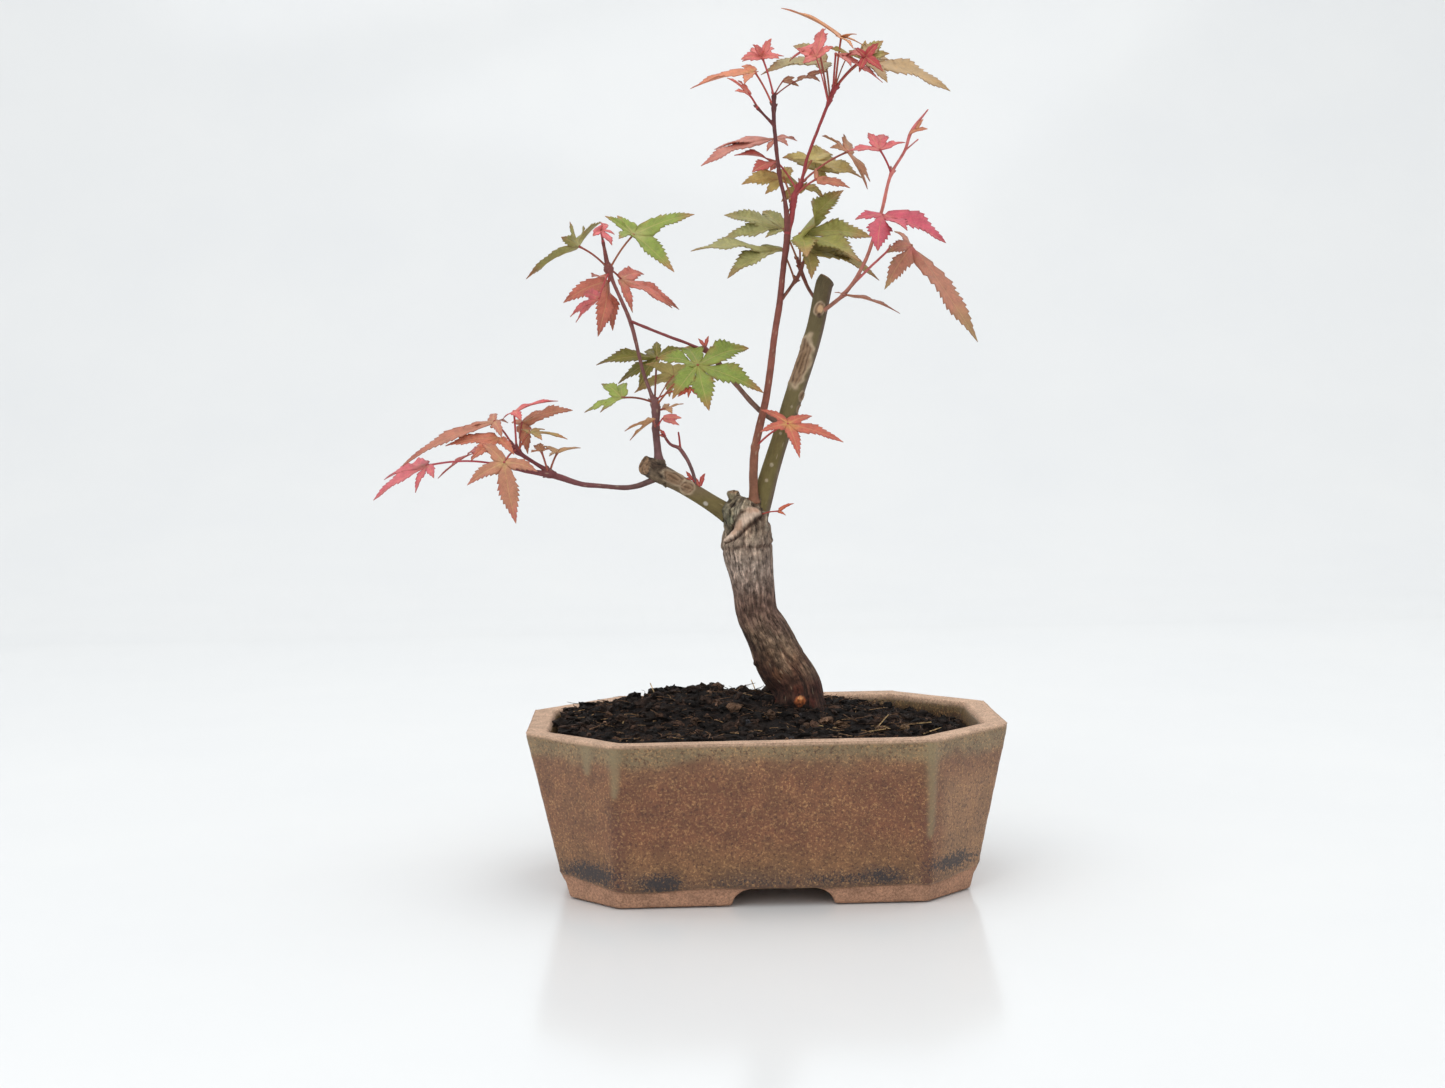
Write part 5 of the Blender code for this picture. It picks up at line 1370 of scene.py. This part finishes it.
def make_lobe(hub, tip, notches, normal, width, draw):
    """Grid of points over one lobe; for each, length along it, offset across it and half width there."""
    length = float(np.linalg.norm(tip - hub))
    teeth = int(np.clip(round(0.76 * length / TOOTH_SPACING), 2, 13))
    outer_rows = TOOTH_STEPS * teeth
    outer = LOBE_SINUS + (1.0 - LOBE_SINUS) * np.arange(1, outer_rows + 1) / outer_rows
    shares = np.concatenate([np.linspace(0.0, LOBE_SINUS, NOTCH_ROWS + 1), outer])
    line = lobe_line(hub, tip, shares, normal, draw.uniform(-0.03, 0.03))
    along = np.gradient(line, axis=0)
    along /= np.maximum(np.linalg.norm(along, axis=1), 1e-6)[:, None]
    across = np.cross(normal, along)
    across /= np.linalg.norm(across, axis=1)[:, None]
    face = np.cross(along, across)
    twist = (draw.uniform(-0.35, 0.35) * smooth_step(0.3, 1.0, shares))[:, None]
    across, face = (across * np.cos(twist) + face * np.sin(twist),
                    face * np.cos(twist) - across * np.sin(twist))
    half = width * length * np.interp(shares, LOBE_SHARES, LOBE_WIDTHS)
    fold = draw.uniform(0.15, 0.45)
    phase, waves = draw.uniform(0.0, 2.0 * pi), draw.uniform(1.5, 2.6)
    sinus_half = width * length * float(np.interp(LOBE_SINUS, LOBE_SHARES, LOBE_WIDTHS))
    grid, blade = np.empty((2, len(shares), len(COLUMNS), 3))
    for row, share in enumerate(shares):
        fall = 1.0 - float(smooth_step(0.0, 0.22, share - LOBE_SINUS))
        tooth = (row - NOTCH_ROWS) % TOOTH_STEPS if row > NOTCH_ROWS else 0
        starting = smooth_step(LOBE_SINUS + 0.04, LOBE_SINUS + 0.1, share)
        toothed = float(starting * smooth_step(0.99, 0.9, share))
        rising = float(smooth_step(0.1, 0.4, share))
        for column, u in enumerate(COLUMNS):
            side, far = (1.0 if u > 0.0 else -1.0), abs(u)
            notch = notches[1 if u > 0.0 else 0]
            if row <= NOTCH_ROWS:
                edge = hub + (notch - hub) * row / NOTCH_ROWS
            else:
                saw = 1.0 + toothed * TOOTH_WIDTHS[tooth]
                edge = line[row] + across[row] * side * half[row] * saw
                edge = edge + along[row] * toothed * TOOTH_REACH[tooth] * min(half[row], 2.4)
                base = line[NOTCH_ROWS] + across[NOTCH_ROWS] * side * sinus_half
                edge = edge + fall * (notch - base)
            wave = 0.14 * sin(2.0 * pi * waves * share + phase + side) * far ** 2
            lift = half[row] * (fold * far + wave) * rising
            grid[row, column] = line[row] + (edge - line[row]) * far + face[row] * lift
            blade[row, column] = (share * length, u * half[row], half[row])
    return grid, blade, np.repeat(shares[:, None], len(COLUMNS), axis=1)


def welded(points, faces, within=0.004):
    """Numbers of the points left when points this close are made one, and the faces that hold."""
    _, first, index = np.unique(np.round(points / within).astype(np.int64), axis=0,
                                return_index=True, return_inverse=True)
    index = index.ravel()
    rings = [tuple(dict.fromkeys(int(index[corner]) for corner in face)) for face in faces]
    return first, [ring for ring in rings if len(ring) > 2]


def thickened(points, faces, thickness):
    """Closed shell round a sheet, and for each of its points the number of the sheet's point."""
    normals = np.zeros_like(points)
    for face in faces:
        corners = points[list(face)]
        normals[list(face)] += np.cross(corners[1] - corners[0], corners[-1] - corners[0])
    normals /= np.maximum(np.linalg.norm(normals, axis=1), 1e-9)[:, None]
    count = len(points)
    shell = np.vstack([points + normals * 0.5 * thickness, points - normals * 0.5 * thickness])
    closed = list(faces) + [tuple(index + count for index in reversed(face)) for face in faces]
    closed += [(second, first, first + count, second + count) for first, second in border_edges(faces)]
    return shell, closed, np.tile(np.arange(count), 2)


def turn_from(along, side, reach):
    """Angle from the petiole round the hub, between 0 and a full turn."""
    return atan2(float(reach @ side), float(reach @ along)) % (2.0 * pi)


def notches_between(hub, tips, normal):
    """Where neighbouring lobes part, with a point beside the first lobe and beside the last."""
    notches = []
    for tip, following in zip(tips, tips[1:]):
        first, second = tip - hub, following - hub
        middle = unit(unit(first) + unit(second) + 1e-6 * normal)
        reach = LOBE_SINUS * min(np.linalg.norm(first), np.linalg.norm(second))
        notches.append(hub + middle * reach)
    ends = []
    for tip, way in ((tips[0], -1.0), (tips[-1], 1.0)):
        reach = tip - hub
        beside = unit(np.cross(normal, reach)) * way
        ends.append(hub + (unit(reach) * 0.45 + beside * 0.9) * min(0.16 * np.linalg.norm(reach), 3.0))
    return [ends[0], *notches, ends[1]]


def blade_sheet(root, hub, tips, width, draw):
    """Sheet of a blade: points, faces, blade vectors and shares of the lobes' lengths."""
    normal = blade_normal([hub, *tips])
    side = unit(np.cross(normal, root - hub))
    along = unit(np.cross(side, normal))
    tips = sorted(tips, key=lambda tip: turn_from(along, side, tip - hub))
    notches = notches_between(hub, tips, normal)
    points, blades, shares, faces, start = [], [], [], [], 0
    columns = len(COLUMNS)
    for index, tip in enumerate(tips):
        grid, blade, share = make_lobe(hub, tip, notches[index:index + 2], normal, width, draw)
        for row in range(len(grid) - 1):
            for column in range(columns - 1):
                corner = start + row * columns + column
                faces.append((corner, corner + 1, corner + columns + 1, corner + columns))
        points.append(grid.reshape(-1, 3))
        blades.append(blade.reshape(-1, 3))
        shares.append(share.ravel())
        start += share.size
    points, blades, shares = np.vstack(points), np.vstack(blades), np.concatenate(shares)
    first, faces = welded(points, faces)
    return points[first], faces, blades[first], shares[first]


def petiole(root, hub, stalk_radius):
    """Round leaf stalk that sags a little and swells at both ends."""
    length = np.linalg.norm(root - hub)
    steps = max(4, int(length / 1.2))
    line = []
    for step in range(steps + 1):
        t = step / steps
        sag = 0.06 * length * sin(pi * t)
        swell = 1.0 + 0.9 * np.exp(-t * length / 1.0) + 0.5 * np.exp(-(1.0 - t) * length / 0.8)
        line.append((*(root + (hub - root) * t + np.array((0.0, 0.0, sag))), stalk_radius * swell))
    return tube(np.array(line), 8, (0.2, 0.8))


def make_leaf(name, slot, root, hub, width, tips, palette, replaced, seed):
    """Palmate leaf: thin folded lobes with toothed edges, on a round stalk."""
    if slot not in LEAF_FINISHES:
        LEAF_FINISHES[slot] = leaf_finish(f"leaf_{slot}", 0.52)
    at_hub, on_lobes, at_tips = palette
    hub, tips = np.array(hub, float), [np.array(tip, float) for tip in tips]
    sheet, faces, blades, shares = blade_sheet(root, hub, tips, width, np.random.default_rng(seed))
    shell, closed, source = thickened(sheet, faces, LEAF_SHEET)
    blades, shares, flat = blades[source], shares[source], sheet[source]
    uneven = shares + 0.12 * rough_noise(flat, 7.0, 2, seed)
    tints = gradient({0.05: at_hub, 0.3: on_lobes, 0.68: on_lobes, 0.98: at_tips}, uneven)
    near_edge = np.abs(blades[:, 1]) / np.maximum(blades[:, 2], 0.1)
    dry = smooth_step(0.1, 0.7, rough_noise(flat, 4.0, 2, seed + 5)) * smooth_step(0.4, 1.0, near_edge)
    tints = covered(tints, at_tips, 0.7 * dry)
    tints = tints * (1.0 + 0.1 * rough_noise(flat, 3.0, 2, seed + 9))[:, None]

    stalk = petiole(root, hub, PETIOLE_RADIUS if replaced else LEAFLET_STALK_RADIUS)
    count = len(stalk[0])
    reddish = 0.55 * plain_tint(at_tips, count) + 0.45 * plain_tint(LEAF_COLOURS["petiole"], count)
    add_piece(name, joined([(shell, closed), stalk]), LEAF_FINISHES[slot], replaced,
              np.vstack([tints, reddish]), {"blade": np.vstack([blades, np.tile(VEINLESS, (count, 1))])})


def make_leaves():
    for order, (name, slot, host, place, hub, width, tips, palette) in enumerate(LEAVES):
        root = nearest_on(host, place)[0][:3]
        make_leaf(f"{name}_blade", slot, root, hub, width, tips, palette, name, LEAF_SEED + order)
    for order, (name, (slot, place, hub, width, tips)) in enumerate(LEAFLETS.items()):
        root = np.array(place, float)
        make_leaf(name, slot, root, hub, width, tips, SLOT_PALETTES[slot], None, LEAFLET_SEED + order)


# ---------------------------------------------------------------- stage, light and camera

def make_stage():
    """Pale floor that curves up into a plain backdrop."""
    profile = [(-FLOOR_REACH, 0.0), (BACKDROP_START, 0.0)]
    for step in range(1, BACKDROP_STEPS + 1):
        turn = 0.5 * pi * step / BACKDROP_STEPS
        profile.append((BACKDROP_START + BACKDROP_CURVE * sin(turn), BACKDROP_CURVE * (1.0 - cos(turn))))
    profile.append((BACKDROP_START + BACKDROP_CURVE, FLOOR_REACH))
    shape = bmesh.new()
    rows = [[shape.verts.new((x, y, z)) for x in (-FLOOR_REACH, FLOOR_REACH)] for y, z in profile]
    for low, high in zip(rows, rows[1:]):
        shape.faces.new((low[0], low[1], high[1], high[0]))
    mesh = bpy.data.meshes.new("studio_floor")
    shape.to_mesh(mesh)
    shape.free()
    mesh.shade_smooth()
    floor = placed("studio_floor", mesh)
    floor.location.z = POT_LOW.z - FLOOR_GAP
    finish = Finish("studio_floor", Roughness=0.16, Specular_IOR_Level=0.5)
    clouds = finish.noise(finish.place(), 160.0, 3.0)
    mesh.materials.append(finish.close(finish.mix(clouds, *FLOOR_COLOURS), clouds, 0.01))


def make_lights():
    """Soft sky and two square soft boxes that aim at the tree."""
    world = bpy.data.worlds.new("soft_sky")
    world.use_nodes = True
    background = world.node_tree.nodes["Background"]
    background.inputs["Color"].default_value = SKY_COLOUR
    background.inputs["Strength"].default_value = SKY_STRENGTH
    bpy.context.scene.world = world
    for name, place, size, power in SOFT_BOXES:
        light = bpy.data.lights.new(name, "AREA")
        light.shape = "SQUARE"
        light.size = size
        light.energy = power
        lamp = placed(name, light)
        lamp.location = place
        aim = Vector(LIGHT_AIM) - lamp.location
        lamp.rotation_euler = aim.to_track_quat("-Z", "Y").to_euler()


def make_camera():
    """Camera where the photo was taken from; its angles are in degrees."""
    yaw, pitch, roll = radians(CAMERA_YAW), radians(CAMERA_PITCH), radians(CAMERA_ROLL)
    forward = Vector((sin(yaw) * cos(pitch), cos(yaw) * cos(pitch), sin(pitch)))
    level = Vector((cos(yaw), -sin(yaw), 0.0))
    upright = level.cross(forward)
    right = level * cos(roll) + upright * sin(roll)
    above = upright * cos(roll) - level * sin(roll)
    data = bpy.data.cameras.new("camera")
    data.sensor_width = SENSOR_WIDTH
    data.lens = CAMERA_LENS
    data.clip_start = CLIP_START
    camera = placed("camera", data)
    camera.matrix_world = Matrix((right, above, -forward)).transposed().to_4x4()
    camera.location = CAMERA_PLACE
    bpy.context.scene.camera = camera


def refinish_drainage():
    """The drain meshes and clips keep their CAD shapes and get better materials."""
    plastic = plain_finish("black_mesh", MESH_COLOURS, 0.5, 3.0, 0.05)
    wire = plain_finish("clip_wire", WIRE_COLOURS, 0.4, 1.5, 0.03, Metallic=1.0)
    for side in ("left", "right"):
        for node, material in ((f"drain_mesh_{side}", plastic), (f"mesh_clip_{side}", wire)):
            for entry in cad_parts[node].material_slots:
                entry.material = material


# ---------------------------------------------------------------- build

make_camera()
make_stage()
make_lights()
LEAVES = listed_leaves()
STEMS, LEAF_FINISHES = {}, {}
ball = bmesh.new()
bmesh.ops.create_icosphere(ball, subdivisions=2, radius=1.0)
CRUMB_BALL = (np.array([tuple(corner.co) for corner in ball.verts]),
              [tuple(corner.index for corner in face.verts) for face in ball.faces])
ball.free()

make_pot()
make_soil()
make_trunk()
for shoot, stem_lines in SHOOTS.items():
    make_shoot(shoot, stem_lines)
make_leaves()
refinish_drainage()
bpy.context.scene.view_settings.view_transform = "Standard"
